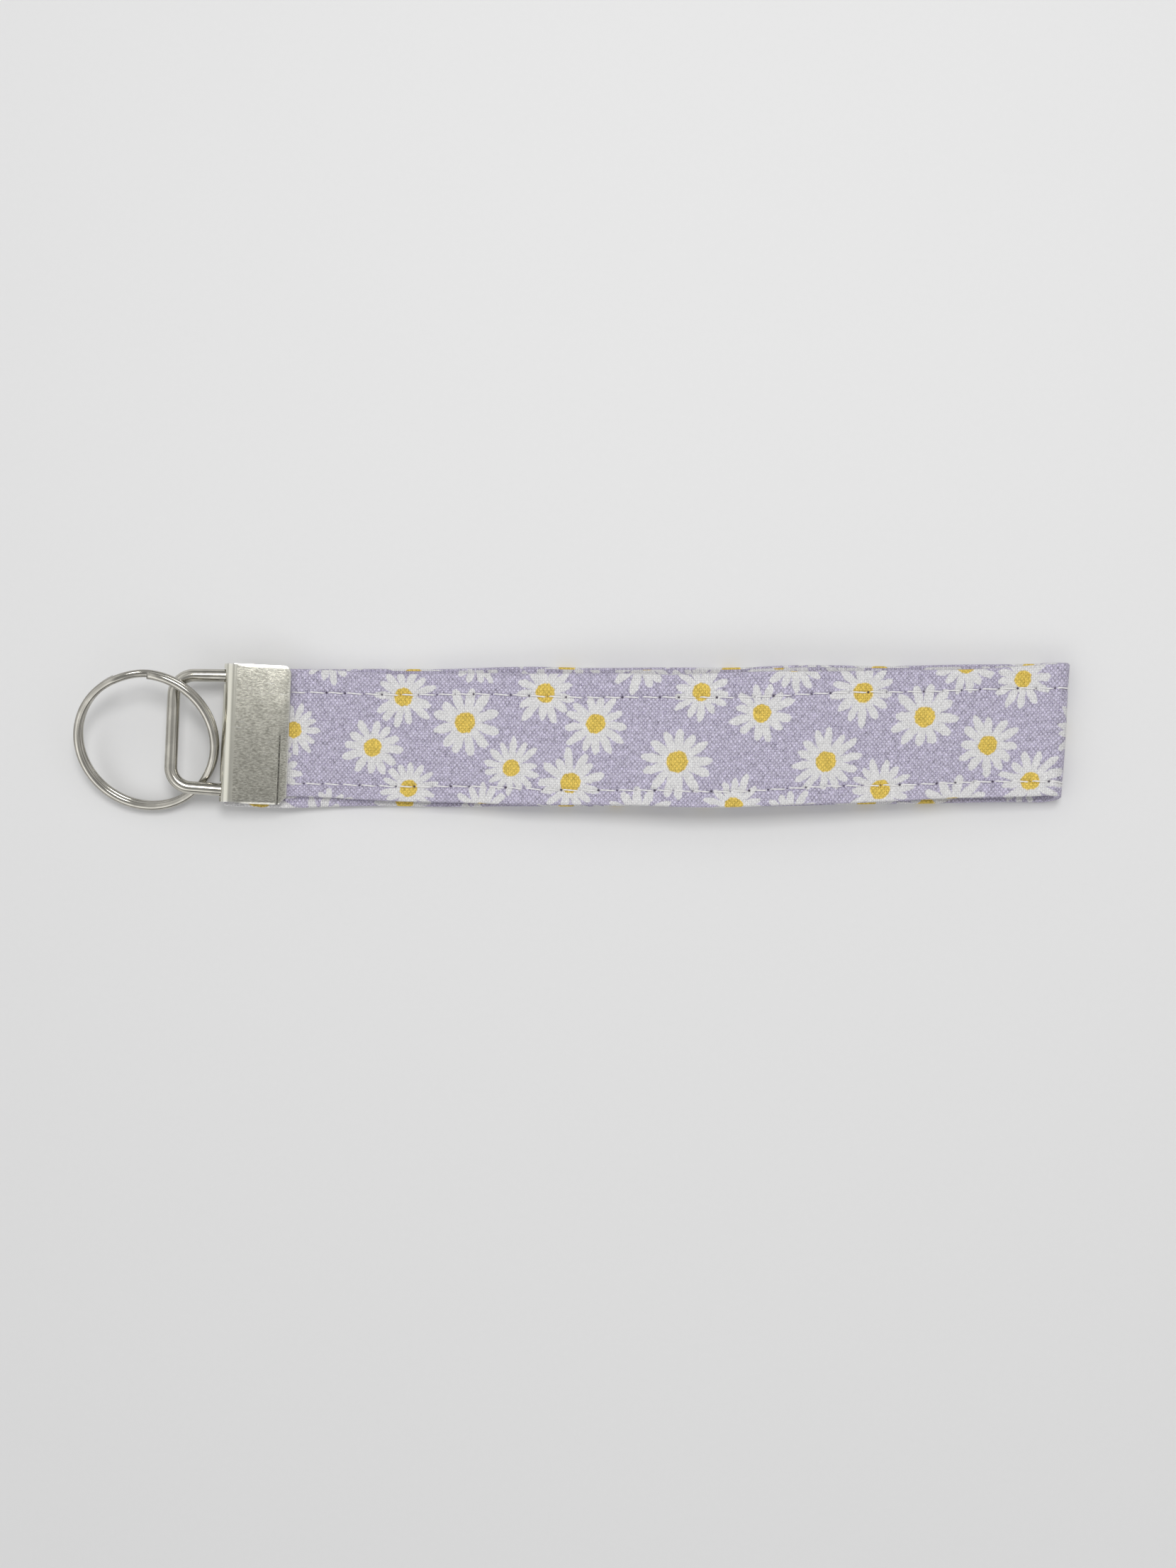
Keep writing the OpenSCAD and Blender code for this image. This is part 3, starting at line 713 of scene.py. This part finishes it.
def strap_section():
    """Far edge to near edge over the outside, round and back: across v, height share from -1 to 1."""
    face = face_lines()
    a = np.linspace(-np.pi / 2, np.pi / 2, 11)[1:-1]
    far_v, far_d = STRAP_HALF_W - EDGE_R + EDGE_R * np.cos(a), np.sin(a)
    v = np.concatenate([far_v, face, -far_v, face[::-1]])
    d = np.concatenate([far_d, np.ones_like(face), far_d[::-1], -np.ones_like(face)])
    return v, d


def strip_stations():
    """Places along the strip: close at every needle hole and round the fold."""
    holes = np.arange(FIRST_HOLE, STRIP_LENGTH, STITCH)
    s = (holes[:, None] + HOLE_LINES).ravel()
    s = np.concatenate([s, np.arange(FOLD_S - 5, FOLD_S + 5, 0.3), [0.0, STRIP_LENGTH]])
    s = np.unique(s[(s >= 0) & (s <= STRIP_LENGTH)])
    return s[np.concatenate([[True], np.diff(s) > 0.05])]


section_v, section_d = strap_section()
stations = strip_stations()
print("grid of", len(stations), "by", len(section_v))

# %% [markdown]
# With the grid laid out, the strap is whole arrays: a valley along each row, a dip at each hole, a little
# extra fullness between the rows, and a groove along the near edge, where the two folded-in edges of the
# cotton meet. The rows stray a little, as they are sewn by hand. The UV map is the cloth laid flat, in
# millimetres along and around, so that the print and the weave keep their size everywhere.

# %% The cotton strap
VALLEY, VALLEY_W = 0.17, 0.42
DIP, DIP_W = 0.36, 0.33
FULLNESS, FULL_MIDDLE, FULL_HALF_W = 0.05, -0.5, 8.7
SEAM, SEAM_W = 0.22, 0.22


def half_thickness(s):
    """Half the strip's thickness at s."""
    return np.interp(s, line_s, line[:, 2])


def row_bells(s, v, width):
    """A bell curve across each row: exp(-(distance / width)^2)."""
    strays = waves(s, ROW_WAVES)
    return sum(np.exp(-(((v - r - strays) / width) ** 2)) for r in ROWS.values())


def needle_hole(s, v):
    """Up to 1 at a needle hole, falling as a bell curve along and across; some holes stay more open."""
    number = np.round((s - FIRST_HOLE) / STITCH) + 40 * (v > 0)
    openness = 0.82 + 0.18 * np.sin(2.4 * number + 0.7 * np.sin(1.7 * number))
    return openness * row_bells(s, v, DIP_W) * np.exp(-((to_hole(s) / DIP_W) ** 2))


def cotton_strap():
    """Section times thickness, less valleys and dips, plus fullness between the rows."""
    s, v0 = np.meshgrid(stations, section_v, indexing="ij")
    d0 = np.broadcast_to(section_d, s.shape)
    half_t = half_thickness(s)
    # The close grid lines follow a straying row, fading out 2.4 mm from it
    v = v0 + waves(s, ROW_WAVES) * (1 - smooth((to_row(v0) - 1.0) / 1.4))
    on_face = np.abs(d0) > 0.999
    hole = np.where(on_face, needle_hole(s, v), 0.0)
    full = FULLNESS * np.cos(np.pi * np.clip((v - FULL_MIDDLE) / FULL_HALF_W, -1, 1))
    sunk = VALLEY * row_bells(s, v, VALLEY_W) + DIP * hole - full
    sunk = np.where(on_face, sunk, 0.0) * half_t / (STRAP_T / 2)
    seam = SEAM * np.exp(-((d0 / SEAM_W) ** 2)) * (v0 < -STRAP_HALF_W + EDGE_R)
    points = strap_place(s, v + seam, d0 * (half_t - sunk))
    section = np.stack([section_v, section_d * STRAP_T / 2], axis=-1)
    around = run_length(np.concatenate([section, section[:1]]))
    uv = np.stack(np.meshgrid(stations, around, indexing="ij"), axis=-1)
    return new_piece("cotton_strap", on_table(points), uv=uv, marks={"needle_hole": hole})


strap = cotton_strap()
finish_piece(strap, cotton, "strap_and_clamp", "printed_cotton", "strap_fabric")

# %% [markdown]
# Inside the cotton lies a strip of white interfacing, which keeps the strap from going limp. Nothing of it
# shows, but the part has it, so it gets its own thin bar through the same places, with a bonded,
# directionless fibre look. The sewing thread will use the same plain fibre material, finer and whiter.

# %% Interfacing
CORE_HALF_W = 11.5
CORE_SHARE = 0.2
CORE_END = 0.4


def plain_fibres(name, fine, slow, dark, light, relief, sockets):
    """A grey mottled from dark to light by the fibre fuzz, which also gives a relief: strength and depth."""
    material, w = new_material(name)
    fuzz = w.group(fuzz_group, {"Place": w.place(), "Fine": fine, "Slow": slow})
    colour = w.mix(fuzz["Tone"], (*dark, 1.0), (*light, 1.0))
    return dress(material, {"Base Color": colour, "Normal": w.bump(*relief, fuzz["Height"]), **sockets})


def interfacing_strip():
    """A flat superellipse section along the strip, inside the cotton."""
    s = np.linspace(CORE_END, STRIP_LENGTH - CORE_END, 240)
    s = np.union1d(s, np.arange(FOLD_S - 4, FOLD_S + 4, 0.4))
    v, d = oval(24, CORE_HALF_W, CORE_SHARE, 5.0)
    s, v = np.meshgrid(s, v, indexing="ij")
    return new_piece("interfacing_strip", strap_place(s, v, d * half_thickness(s)))


bonded = plain_fibres(
    "bonded interfacing", 3.0, 0.6, (0.70, 0.70, 0.69), (0.86, 0.86, 0.85), (0.4, 0.05), {"Roughness": 0.95}
)
interfacing = interfacing_strip()
finish_piece(interfacing, bonded, "strap_and_clamp", "interfacing", "strap_interfacing")

# %% [markdown]
# Topstitching is a thread that comes up through a hole, lies along the cloth and goes down the next hole.
# Each row is one unbroken thread on the outside and one on the inside. Along a stitch the height is a flat
# hump that a smooth step drops steeply into the hole at both ends. Two twisted plies give the thread a
# section with two lobes that turns as it goes, so the twist is real geometry that catches the light.

# %% Sewing thread
THREAD_R = 0.135
THREAD_END, THREAD_STEP = 0.6, 0.1
THREAD_SUNK, THREAD_RISE = 0.58, 0.70
HOLE_SHARE, RISE_SHARE = 0.04, 0.17
LOBE, LAY_LENGTH = 0.17, 2.0
STITCH_SLANT = 0.13


def stitch_row(name, row, face):
    """Thread along one row: slanted flat humps over the valley, with a turning section of two lobes."""
    s = np.arange(THREAD_END, STRIP_LENGTH - THREAD_END, THREAD_STEP)
    u = ((s - FIRST_HOLE) / STITCH) % 1.0
    hump = smooth((0.5 - np.abs(u - 0.5) - HOLE_SHARE) / RISE_SHARE)
    v = row + waves(s, ROW_WAVES) + STITCH_SLANT * (2 * u - 1) * hump
    half_t = half_thickness(s)
    thin = half_t / (STRAP_T / 2)
    high = half_t - VALLEY * thin + (THREAD_RISE * hump - THREAD_SUNK) * thin
    path = strap_place(s, v, face * high)
    up = strap_place(s, v, face * (high + 0.1)) - path
    a = np.linspace(0, 2 * np.pi, 10, endpoint=False)
    lobes = 1.0 + LOBE * np.cos(2 * (a - 2 * np.pi * s[:, None] / LAY_LENGTH))
    r = THREAD_R * np.minimum(1.0, thin + 0.2)[:, None] * lobes
    return new_piece(name, on_table(sweep(path, unit(up), r * np.cos(a), r * np.sin(a))))


thread = plain_fibres(
    "white sewing thread", 11.0, 0.8, (0.74, 0.73, 0.72), (0.92, 0.91, 0.90), (0.35, 0.02),
    {"Roughness": 0.62, "Sheen Weight": 0.1},
)
for side, row in ROWS.items():
    for kind, face in (("needle", 1), ("bobbin", -1)):
        stitches = stitch_row(f"{kind}_stitches_{side}", row, face)
        finish_piece(stitches, thread, "strap_and_clamp", "white_thread", f"{kind}_thread_{side}")

# %% [markdown]
# All the hardware is nickel plated steel, but with different finishes: the clamp is satin, rubbed and
# scratched by the tool that closed it, and the wires are bright. They share one group for wear. Fine grain
# is noise drawn out along one direction, and scratches are the thin places where a long stretched noise
# passes a narrow band, three times at different angles. The group gives masks, and each material decides
# how much they change its colour, roughness and bump.

# %% Nickel wear group
SCRATCH_TURNS_AND_SHIFTS = ((0.45, 3.0), (-0.9, 11.0), (1.9, 23.0))


def nickel_wear():
    """Grain, scratches and smudges from stretched noises; a scratch is a narrow band of one."""
    w, given = new_group("nickel wear", {"Place": None, "Grain": 5.0, "Scratches": 1.0})
    place = given["Place"]
    grain = w.noise(w.vector("MULTIPLY", place, (0.34, 1.0, 1.0)), given["Grain"], 5.0, 0.68)
    scratch = 0.0
    for turn, shift in SCRATCH_TURNS_AND_SHIFTS:
        mapping = {"Vector": place, "Location": (shift, shift, shift), "Rotation": (0.0, 0.0, turn)}
        turned = w.node("Mapping", {**mapping, "Scale": (0.22, 3.4, 1.0)})[0]
        band = w.math("ABSOLUTE", w.noise(turned, 0.8, 1.0) - 0.5)
        broken = w.step(w.noise(turned, 0.35, 1.0), 0.60, 0.70)
        scratch = w.math("MAXIMUM", scratch, w.step(band, 0.012, 0.003) * broken)
    smudge = w.noise(place, 0.35, 3.0)
    return close_group(w, {"Grain": grain, "Scratch": scratch * given["Scratches"], "Smudge": smudge})


wear_group = nickel_wear()

# %% [markdown]
# The satin metal is mottled by its grain, lighter on scratches, and a painted highlight runs along the rim.
# The barrel was rolled round a pin and is smoother. Along the crease the colour is darker in a broken line,
# denser where the tool bit hard. All of these places are marks that the clamp's mesh will carry. The wires
# have only faint grain and smudges, and the ring is a little darker and smoother than the bail.

# %% Satin and bright nickel
GRAIN_DARK, GRAIN_LIGHT = (0.345, 0.335, 0.285, 1.0), (0.80, 0.785, 0.69, 1.0)
SCRATCH_AND_RIM_HIGHLIGHT = (0.82, 0.81, 0.78, 1.0)
CREASE_DARK = (0.08, 0.075, 0.065, 1.0)
BARREL_GRAIN = 0.66
SMUDGED = 0.82


def satin_nickel():
    """Grain mixes dark and light metal, not on the barrel; scratches are lighter, the rim gets a painted
    highlight, the crease is darker.
    """
    material, w = new_material("satin nickel")
    wear = w.group(wear_group, {"Place": w.place(), "Grain": 4.4, "Scratches": 1.0})
    rim_highlight, crease, bitten, barrel = (w.mark(name) for name in ("rim_highlight", "crease", "bitten", "barrel"))
    grain = w.blend(barrel, wear["Grain"], BARREL_GRAIN)
    colour = w.mix(w.step(grain, 0.3, 0.72), GRAIN_DARK, GRAIN_LIGHT)
    # Scratches are lighter, and the rim gets a painted highlight
    colour = w.mix(w.math("MAXIMUM", wear["Scratch"] * 0.65, rim_highlight * 0.7), colour, SCRATCH_AND_RIM_HIGHLIGHT)
    # Darker in a broken line along the crease, denser where the tool bit hard
    crease_breakup = (bitten - 1.0) * 0.3 + wear["Grain"]
    darker_in_crease = w.step(crease, 0.45, 0.8) * w.step(crease_breakup, 0.40, 0.52)
    return dress(material, {
        "Base Color": w.mix(darker_in_crease * 0.9, colour, CREASE_DARK),
        "Roughness": barrel * -0.04 + (wear["Smudge"] * 0.07 + 0.15),
        "Normal": w.bump(0.22, 0.02, grain),
        "Metallic": 1.0,
    })


def bright_nickel(name, tint, roughness):
    """Polished plating, duller by a share in the smudges, with faint grain and a few fine scratches."""
    material, w = new_material(name)
    wear = w.group(wear_group, {"Place": w.place(), "Grain": 6.0, "Scratches": 0.3})
    dull = [SMUDGED * c for c in tint]
    return dress(material, {
        "Base Color": w.mix(w.step(wear["Smudge"], 0.35, 0.65), (*tint, 1.0), (*dull, 1.0)),
        "Roughness": wear["Scratch"] * 0.12 + (wear["Smudge"] * 0.12 + roughness),
        "Normal": w.bump(0.12, 0.02, wear["Grain"]),
        "Metallic": 1.0,
    })


clamp_finish = satin_nickel()
wire_finish = bright_nickel("bright wire nickel", (0.585, 0.565, 0.505), 0.08)
ring_finish = bright_nickel("polished ring nickel", (0.505, 0.487, 0.438), 0.06)

# %% [markdown]
# The clamp is one strip of sheet metal rolled round the bail's hinge pins and folded shut on the strap. The
# mesh is only the middle of that sheet: a side profile carried across the width. A Solidify modifier gives
# it the sheet's thickness and a Bevel rounds its cut edges, which catch the light as a thin bright rim that a
# painted highlight makes brighter. The lips at the open end bend in at a crease. Their far corners are round
# and their near corners cut off, so the end of the profile moves back there. Two slots in the knuckle let the
# bail's legs through.

# %% Profile of the clamp
SHEET_T = 0.8
CLAMP_HALF_W = 13.0
KNUCKLE_R = 1.70
KNUCKLE_OVER = math.radians(12)
JAW_Z = 1.65
CREASE_X = 8.9
LIP_SLOPE, LIP_EASE = math.tan(math.radians(12)), 0.12
LIP_CORNER = 1.4
SLOT_IN, SLOT_OUT = 9.2, 12.1
SLOT_UP, SLOT_DOWN = math.radians(37), math.radians(76)


def lip_reach(y):
    """How far the lip reaches at y: a quarter circle takes the far corner, a straight cut the near one."""
    into = np.clip(y - (CLAMP_HALF_W - LIP_CORNER), 0, LIP_CORNER)
    rounded = LIP_CORNER - np.sqrt(LIP_CORNER**2 - into**2)
    cut = np.clip(-y - (CLAMP_HALF_W - LIP_CORNER), 0, None)
    return LIP_END - rounded - cut


def lip_drop(x):
    """How far the lip has bent in at x: a straight slope past the crease, eased by a soft maximum."""
    return LIP_SLOPE * LIP_EASE * np.logaddexp(0, (x - CREASE_X) / LIP_EASE)


def clamp_rows():
    """Places across the clamp, close at the two ends and in the slots."""
    ends = np.array([0.0, 0.1, 0.2, 0.3, 0.38, 0.48, 0.65])
    slot = np.linspace(SLOT_OUT, SLOT_IN, 12)
    middle = np.linspace(SLOT_IN - 0.7, -SLOT_IN + 0.7, 34)
    return np.concatenate([CLAMP_HALF_W - ends, slot, middle, -slot[::-1], (ends - CLAMP_HALF_W)[::-1]])


# Along the profile: shares of the lip from its end, places on the jaw, and angles round the knuckle
lip_share = np.concatenate([np.linspace(1.0, 0.5, 6), np.linspace(0.46, 0.0, 11)])
jaw_x = np.concatenate([np.linspace(CREASE_X - 0.6, 0.9, 13), [0.62, 0.46]])
knuckle_angle = np.linspace(-np.pi / 2 + KNUCKLE_OVER, -3 * np.pi / 2 - KNUCKLE_OVER, 57)
clamp_y = clamp_rows()
print("clamp grid of", len(clamp_y), "rows")

# %% [markdown]
# A press leaves its marks, and they are added to the profile's height. The faces are crowned and dented a
# little, their cut edges roll over, and the tool's bite draws a groove along the crease, deeper in the near
# half. The same distances are kept as marks for the material: how near the rim a point is, for the rim's
# painted highlight, how deep in the crease, how hard the tool bit there, and what belongs to the barrel.

# %% The clamp
CROWN = 0.05
ROLL_W, ROLL_DROP, FAR_ROLL = 0.42, 0.17, 0.35
DENT = 0.003
CREASE_DEPTH, CREASE_W, CREASE_BACK = 0.09, 0.31, 0.1
LIP_START = CREASE_X - 0.5
RIM_HIGHLIGHT_W = 0.22
EDGE_BEVEL = 0.16


def bite(y):
    """The pressing tool bit harder in the near half: 1 there, a quarter in the far half."""
    return 0.25 + 0.75 * smooth((3.0 - y) / 5.0)


def crease_bell(x):
    """A bell curve along the crease."""
    return np.exp(-(((x - CREASE_X + CREASE_BACK) / CREASE_W) ** 2))


def clamp_grid():
    """Profile in every row: the lip slides back with its corners, and the press marks change the height."""
    lip_x = LIP_START + lip_share * (lip_reach(clamp_y)[:, None] - LIP_START)
    jaw, angle = (np.broadcast_to(k, (len(clamp_y), len(k))) for k in (jaw_x, knuckle_angle))
    flank_x = np.concatenate([lip_x, jaw], axis=1)
    bitten = bite(clamp_y)[:, None]
    flank_z = JAW_Z - lip_drop(flank_x) * (0.4 + 0.6 * bitten) - CREASE_DEPTH * crease_bell(flank_x) * bitten
    x = np.concatenate([flank_x, KNUCKLE_R * np.cos(angle), flank_x[:, ::-1]], axis=1)
    z = np.concatenate([-flank_z, KNUCKLE_R * np.sin(angle), flank_z[:, ::-1]], axis=1)
    y = np.broadcast_to(clamp_y[:, None], x.shape)
    flat = smooth((x - 0.4) / 2.5)
    dents = DENT * (np.sin(1.9 * x + 0.8 * y) + np.sin(1.1 * y - 1.3 * x + 1.0))
    into_edge = np.clip(1 - (CLAMP_HALF_W - np.abs(y)) / ROLL_W, 0, 1)
    rolled = ROLL_DROP * np.where(y > 0, FAR_ROLL, 1.0) * (np.sqrt(into_edge**2 + 0.01) - 0.1)
    z = z + np.sign(z) * flat * (dents - CROWN * (y / CLAMP_HALF_W) ** 2 - rolled)
    return np.stack([x, y, z], axis=-1)


def slot_faces(grid):
    """True for the faces that stay: those outside the two slots, judged by the middle of each face."""
    middle = (grid[:-1, :-1] + grid[1:, :-1] + grid[:-1, 1:] + grid[1:, 1:]) / 4
    x, y, z = np.moveaxis(middle, -1, 0)
    up = np.arctan2(z, -x)
    between = (np.abs(y) > SLOT_IN) & (np.abs(y) < SLOT_OUT) & (np.hypot(x, z) < KNUCKLE_R + 0.05)
    return ~(between & (up < SLOT_UP) & (up > -SLOT_DOWN))


def folded_clamp():
    """The sheet's middle, thickened and with its cut edges rounded."""
    grid = clamp_grid()
    x, y = grid[..., 0], grid[..., 1]
    from_edge = np.minimum(CLAMP_HALF_W - np.abs(y), lip_reach(y) - x)
    marks = {
        # Where the painted rim highlight goes
        "rim_highlight": np.exp(-np.maximum(from_edge, 0) / RIM_HIGHLIGHT_W),
        "crease": crease_bell(x),
        "bitten": bite(y),
        "barrel": 1 - smooth((x - 0.25) / 0.35),
    }
    piece = new_piece("folded_clamp", from_clamp(grid), closed=False, marks=marks, keep=slot_faces(grid))
    wall = piece.modifiers.new("sheet", "SOLIDIFY")
    wall.thickness, wall.offset, wall.use_even_offset = SHEET_T * MM, 0.0, True
    edge = piece.modifiers.new("rounded edges", "BEVEL")
    edge.width, edge.segments, edge.limit_method = EDGE_BEVEL * MM, 3, "ANGLE"
    edge.angle_limit = math.radians(50)
    piece.modifiers.new("even shading", "WEIGHTED_NORMAL").keep_sharp = True
    return piece


clamp = folded_clamp()
finish_piece(clamp, clamp_finish, "strap_and_clamp", "clamp_nickel", "clamp")

# %% [markdown]
# The bail is a length of round wire bent into a flat loop: a front bar, two wide corners, two legs that
# close in a little towards the front, and two tight bends that turn the ends into hinge pins inside the
# knuckle. The path is a handful of corner points with a bend radius each, and a round section follows it.

# %% The bail
BAIL_R = 1.2
BAIL_FRONT_X = -11.2
BAIL_HALF_W = 10.75
BAIL_LEAN, LEAN_BEND_R = 0.32, 3.0
CORNER_R = 3.8
HINGE_BEND_R = 1.4
PIN_GAP = 0.2
PIN_ROUND = 0.5


def bail_path():
    """Pin, hinge bend, leg, corner, front bar, and the same mirrored."""
    half = [
        (0.0, PIN_GAP, 0.0),
        (0.0, BAIL_HALF_W, 0.0),
        (-HINGE_BEND_R - 0.6, BAIL_HALF_W, 0.0),
        (BAIL_FRONT_X, BAIL_HALF_W - BAIL_LEAN, 0.0),
    ]
    mirrored = [(x, -y, z) for x, y, z in half[::-1]]
    bends = [HINGE_BEND_R, LEAN_BEND_R, CORNER_R]
    return rounded_line(half + mirrored, bends + bends[::-1], 0.35)


def wire_bail():
    """Round wire along the path; its ends are rounded over by shrinking the last rings."""
    path = bail_path()
    s = run_length(path)
    to_end = np.clip(np.minimum(s, s[-1] - s) / PIN_ROUND, 0, 1)
    shrink = np.sqrt(1 - 0.75 * (1 - to_end) ** 2)[:, None]
    across, high = oval(40, BAIL_R, BAIL_R)
    return new_piece("wire_bail", from_clamp(sweep(path, UP, shrink * across, shrink * high)))


bail = wire_bail()
finish_piece(bail, wire_finish, "bail", "wire_nickel", "bail")

# %% [markdown]
# A split ring is one wire wound twice round, with the two turns lying on each other. It is a helix with a
# trick: the wire stays level on the lower turn, steps up over a short stretch, and stays level on the upper
# turn. The step is where a key is pushed on. The wire's section is a rounded rectangle, and the two ends
# taper off, as they are ground on a real ring so that keys slip under them.

# %% The split ring
RING_LINE_R = 12.9
RING_W, RING_H, RING_SQUARENESS = 1.46, 1.14, 2.35
TURN_GAP = 0.12
STEP_AT, STEP_DEG = 101.0, 30.0
GROUND_SHARE, GROUND_DEG = 0.62, 9.0


def ring_path():
    """Circle at a height of minus lift on the first turn and plus lift on the second, eased over the step."""
    start = STEP_AT + STEP_DEG / 2
    a = np.arange(start, start + 720 - STEP_DEG + 0.01, 1.5)
    lift = (RING_H + TURN_GAP) / 2
    high = lift * (2 * smooth((a - start - 360 + STEP_DEG) / STEP_DEG) - 1)
    r = np.radians(a)
    return np.stack([RING_LINE_R * np.cos(r), RING_LINE_R * np.sin(r), high], axis=-1), a - start


def split_ring():
    """Rounded rectangle along the coil, thinner at the ground ends, then tilted about X and put in place."""
    path, turned = ring_path()
    to_end = np.minimum(turned, turned[-1] - turned)
    ground = GROUND_SHARE + (1 - GROUND_SHARE) * smooth(to_end / GROUND_DEG)
    across, high = oval(28, RING_W / 2, RING_H / 2, RING_SQUARENESS)
    rings = sweep(path, UP, np.broadcast_to(across, (len(path), len(across))), ground[:, None] * high)
    x, y, z = np.moveaxis(rings, -1, 0)
    c, s = math.cos(RING_TILT), math.sin(RING_TILT)
    tilted = np.stack([x, y * c - z * s, y * s + z * c], axis=-1)
    return new_piece("wound_split_ring", tilted + RING_MIDDLE)


ring = split_ring()
finish_piece(ring, ring_finish, "split_ring", "ring_nickel", "split_ring")

# %% [markdown]
# The table is a wide pale sheet with a faint tooth, a hair below the cloth. It isn't part of the keychain,
# so it rides on no body.

# %% Table
TABLE_DARK, TABLE_LIGHT = (0.785, 0.785, 0.785, 1.0), (0.80, 0.80, 0.80, 1.0)
TABLE_HALF = 1600.0
TABLE_Z = -0.03
TOOTH = 0.9


def pale_table():
    """A flat grid under the strap, mottled by a noise."""
    material, w = new_material("pale table")
    colour = w.mix(w.noise(w.place(), TOOTH, 3.0), TABLE_DARK, TABLE_LIGHT)
    dress(material, {"Base Color": colour, "Roughness": 0.8, "Specular IOR Level": 0.2})
    side = np.linspace(-1, 1, 9) * TABLE_HALF
    x, y = np.meshgrid(side, side, indexing="ij")
    table = new_piece("table", np.stack([x, y, np.full_like(x, TABLE_Z)], axis=-1), closed=False)
    table.data.materials.append(material)
    return table


table = pale_table()

# %% [markdown]
# The light is a pale room and one soft lamp high on the far side, which draws the narrow shadow along the
# near edge. Metal shows what it faces, so the room needs some contrast: a dark band runs round it above the
# pale horizon, which gives the wires their dark lines, and it is dimmer overhead on the near side, where
# whoever looks down would stand. That gives the satin clamp its slow fade from far to near. A glow on the
# left lights up the clamp's barrel, and a weaker one on the right does the same for the bail's front bar. A
# narrow window on the near side adds hardly any light, but it is what the rolled near edges of the metal
# show as thin bright lines.

# %% Light
HORIZON, DARK_BAND, ROOM, OVERHEAD = 0.66, 0.09, 0.465, 0.345
LEFT_GLOW, RIGHT_GLOW, WINDOW = 0.46, 0.26, 0.8
WHITE = (1.0, 1.0, 1.0, 1.0)
LAMP_AT, LAMP_SIZE, LAMP_WATTS = (0.0, 188.0, 512.0), 184.0, 1.08


def pale_room():
    """Strength by direction: pale horizon, dark band, then rising, and falling overhead to the near side."""
    world = bpy.data.worlds.new("pale room")
    world.use_nodes = True
    bpy.context.scene.world = world
    w = Wiring(world.node_tree)
    way = w.node("SeparateXYZ", {0: w.node("TexCoord")["Generated"]})
    x, y, z = way["X"], way["Y"], way["Z"]
    strength = w.step(z, 0.25, 0.18) * (HORIZON - DARK_BAND) + DARK_BAND
    strength = strength + w.step(z, 0.33, 0.56) * (ROOM - DARK_BAND)
    strength = strength + w.step(z, 0.84, 0.98) * w.step(y, 0.24, -0.12) * (OVERHEAD - ROOM)
    glow = w.step(x, -0.06, -0.5) * LEFT_GLOW + w.step(x, 0.38, 0.72) * RIGHT_GLOW
    strength = strength + glow * w.step(z, 0.15, 0.3)
    window = w.step(z, 0.50, 0.60) * w.step(z, 0.84, 0.74) * w.step(y, -0.32, -0.5)
    window = window * w.step(w.math("ABSOLUTE", x + 0.2), 0.5, 0.3)
    strength = strength + window * WINDOW
    sky = world.node_tree.nodes["Background"]
    plug(world.node_tree, sky.inputs, {"Color": WHITE, "Strength": strength})


def soft_lamp(name, at, size, watts):
    """A square lamp that faces the middle of the keychain."""
    lamp = bpy.data.lights.new(name, "AREA")
    lamp.size, lamp.energy = size * MM, watts
    holder = bpy.data.objects.new(name, lamp)
    holder.location = [v * MM for v in at]
    holder.rotation_euler = (-holder.location).to_track_quat("-Z", "Y").to_euler()
    bpy.context.scene.collection.objects.link(holder)
    print("lamp:", holder.name)


pale_room()
soft_lamp("far lamp", LAMP_AT, LAMP_SIZE, LAMP_WATTS)
bpy.context.scene.view_settings.view_transform = "Standard"

# %% [markdown]
# Last, the script writes the box of the imported parts and the box of what was dressed, so that the two can
# be compared, and hands over to the frame, which checks that every piece rides on a body.

# %% Finish
print("dressing done")
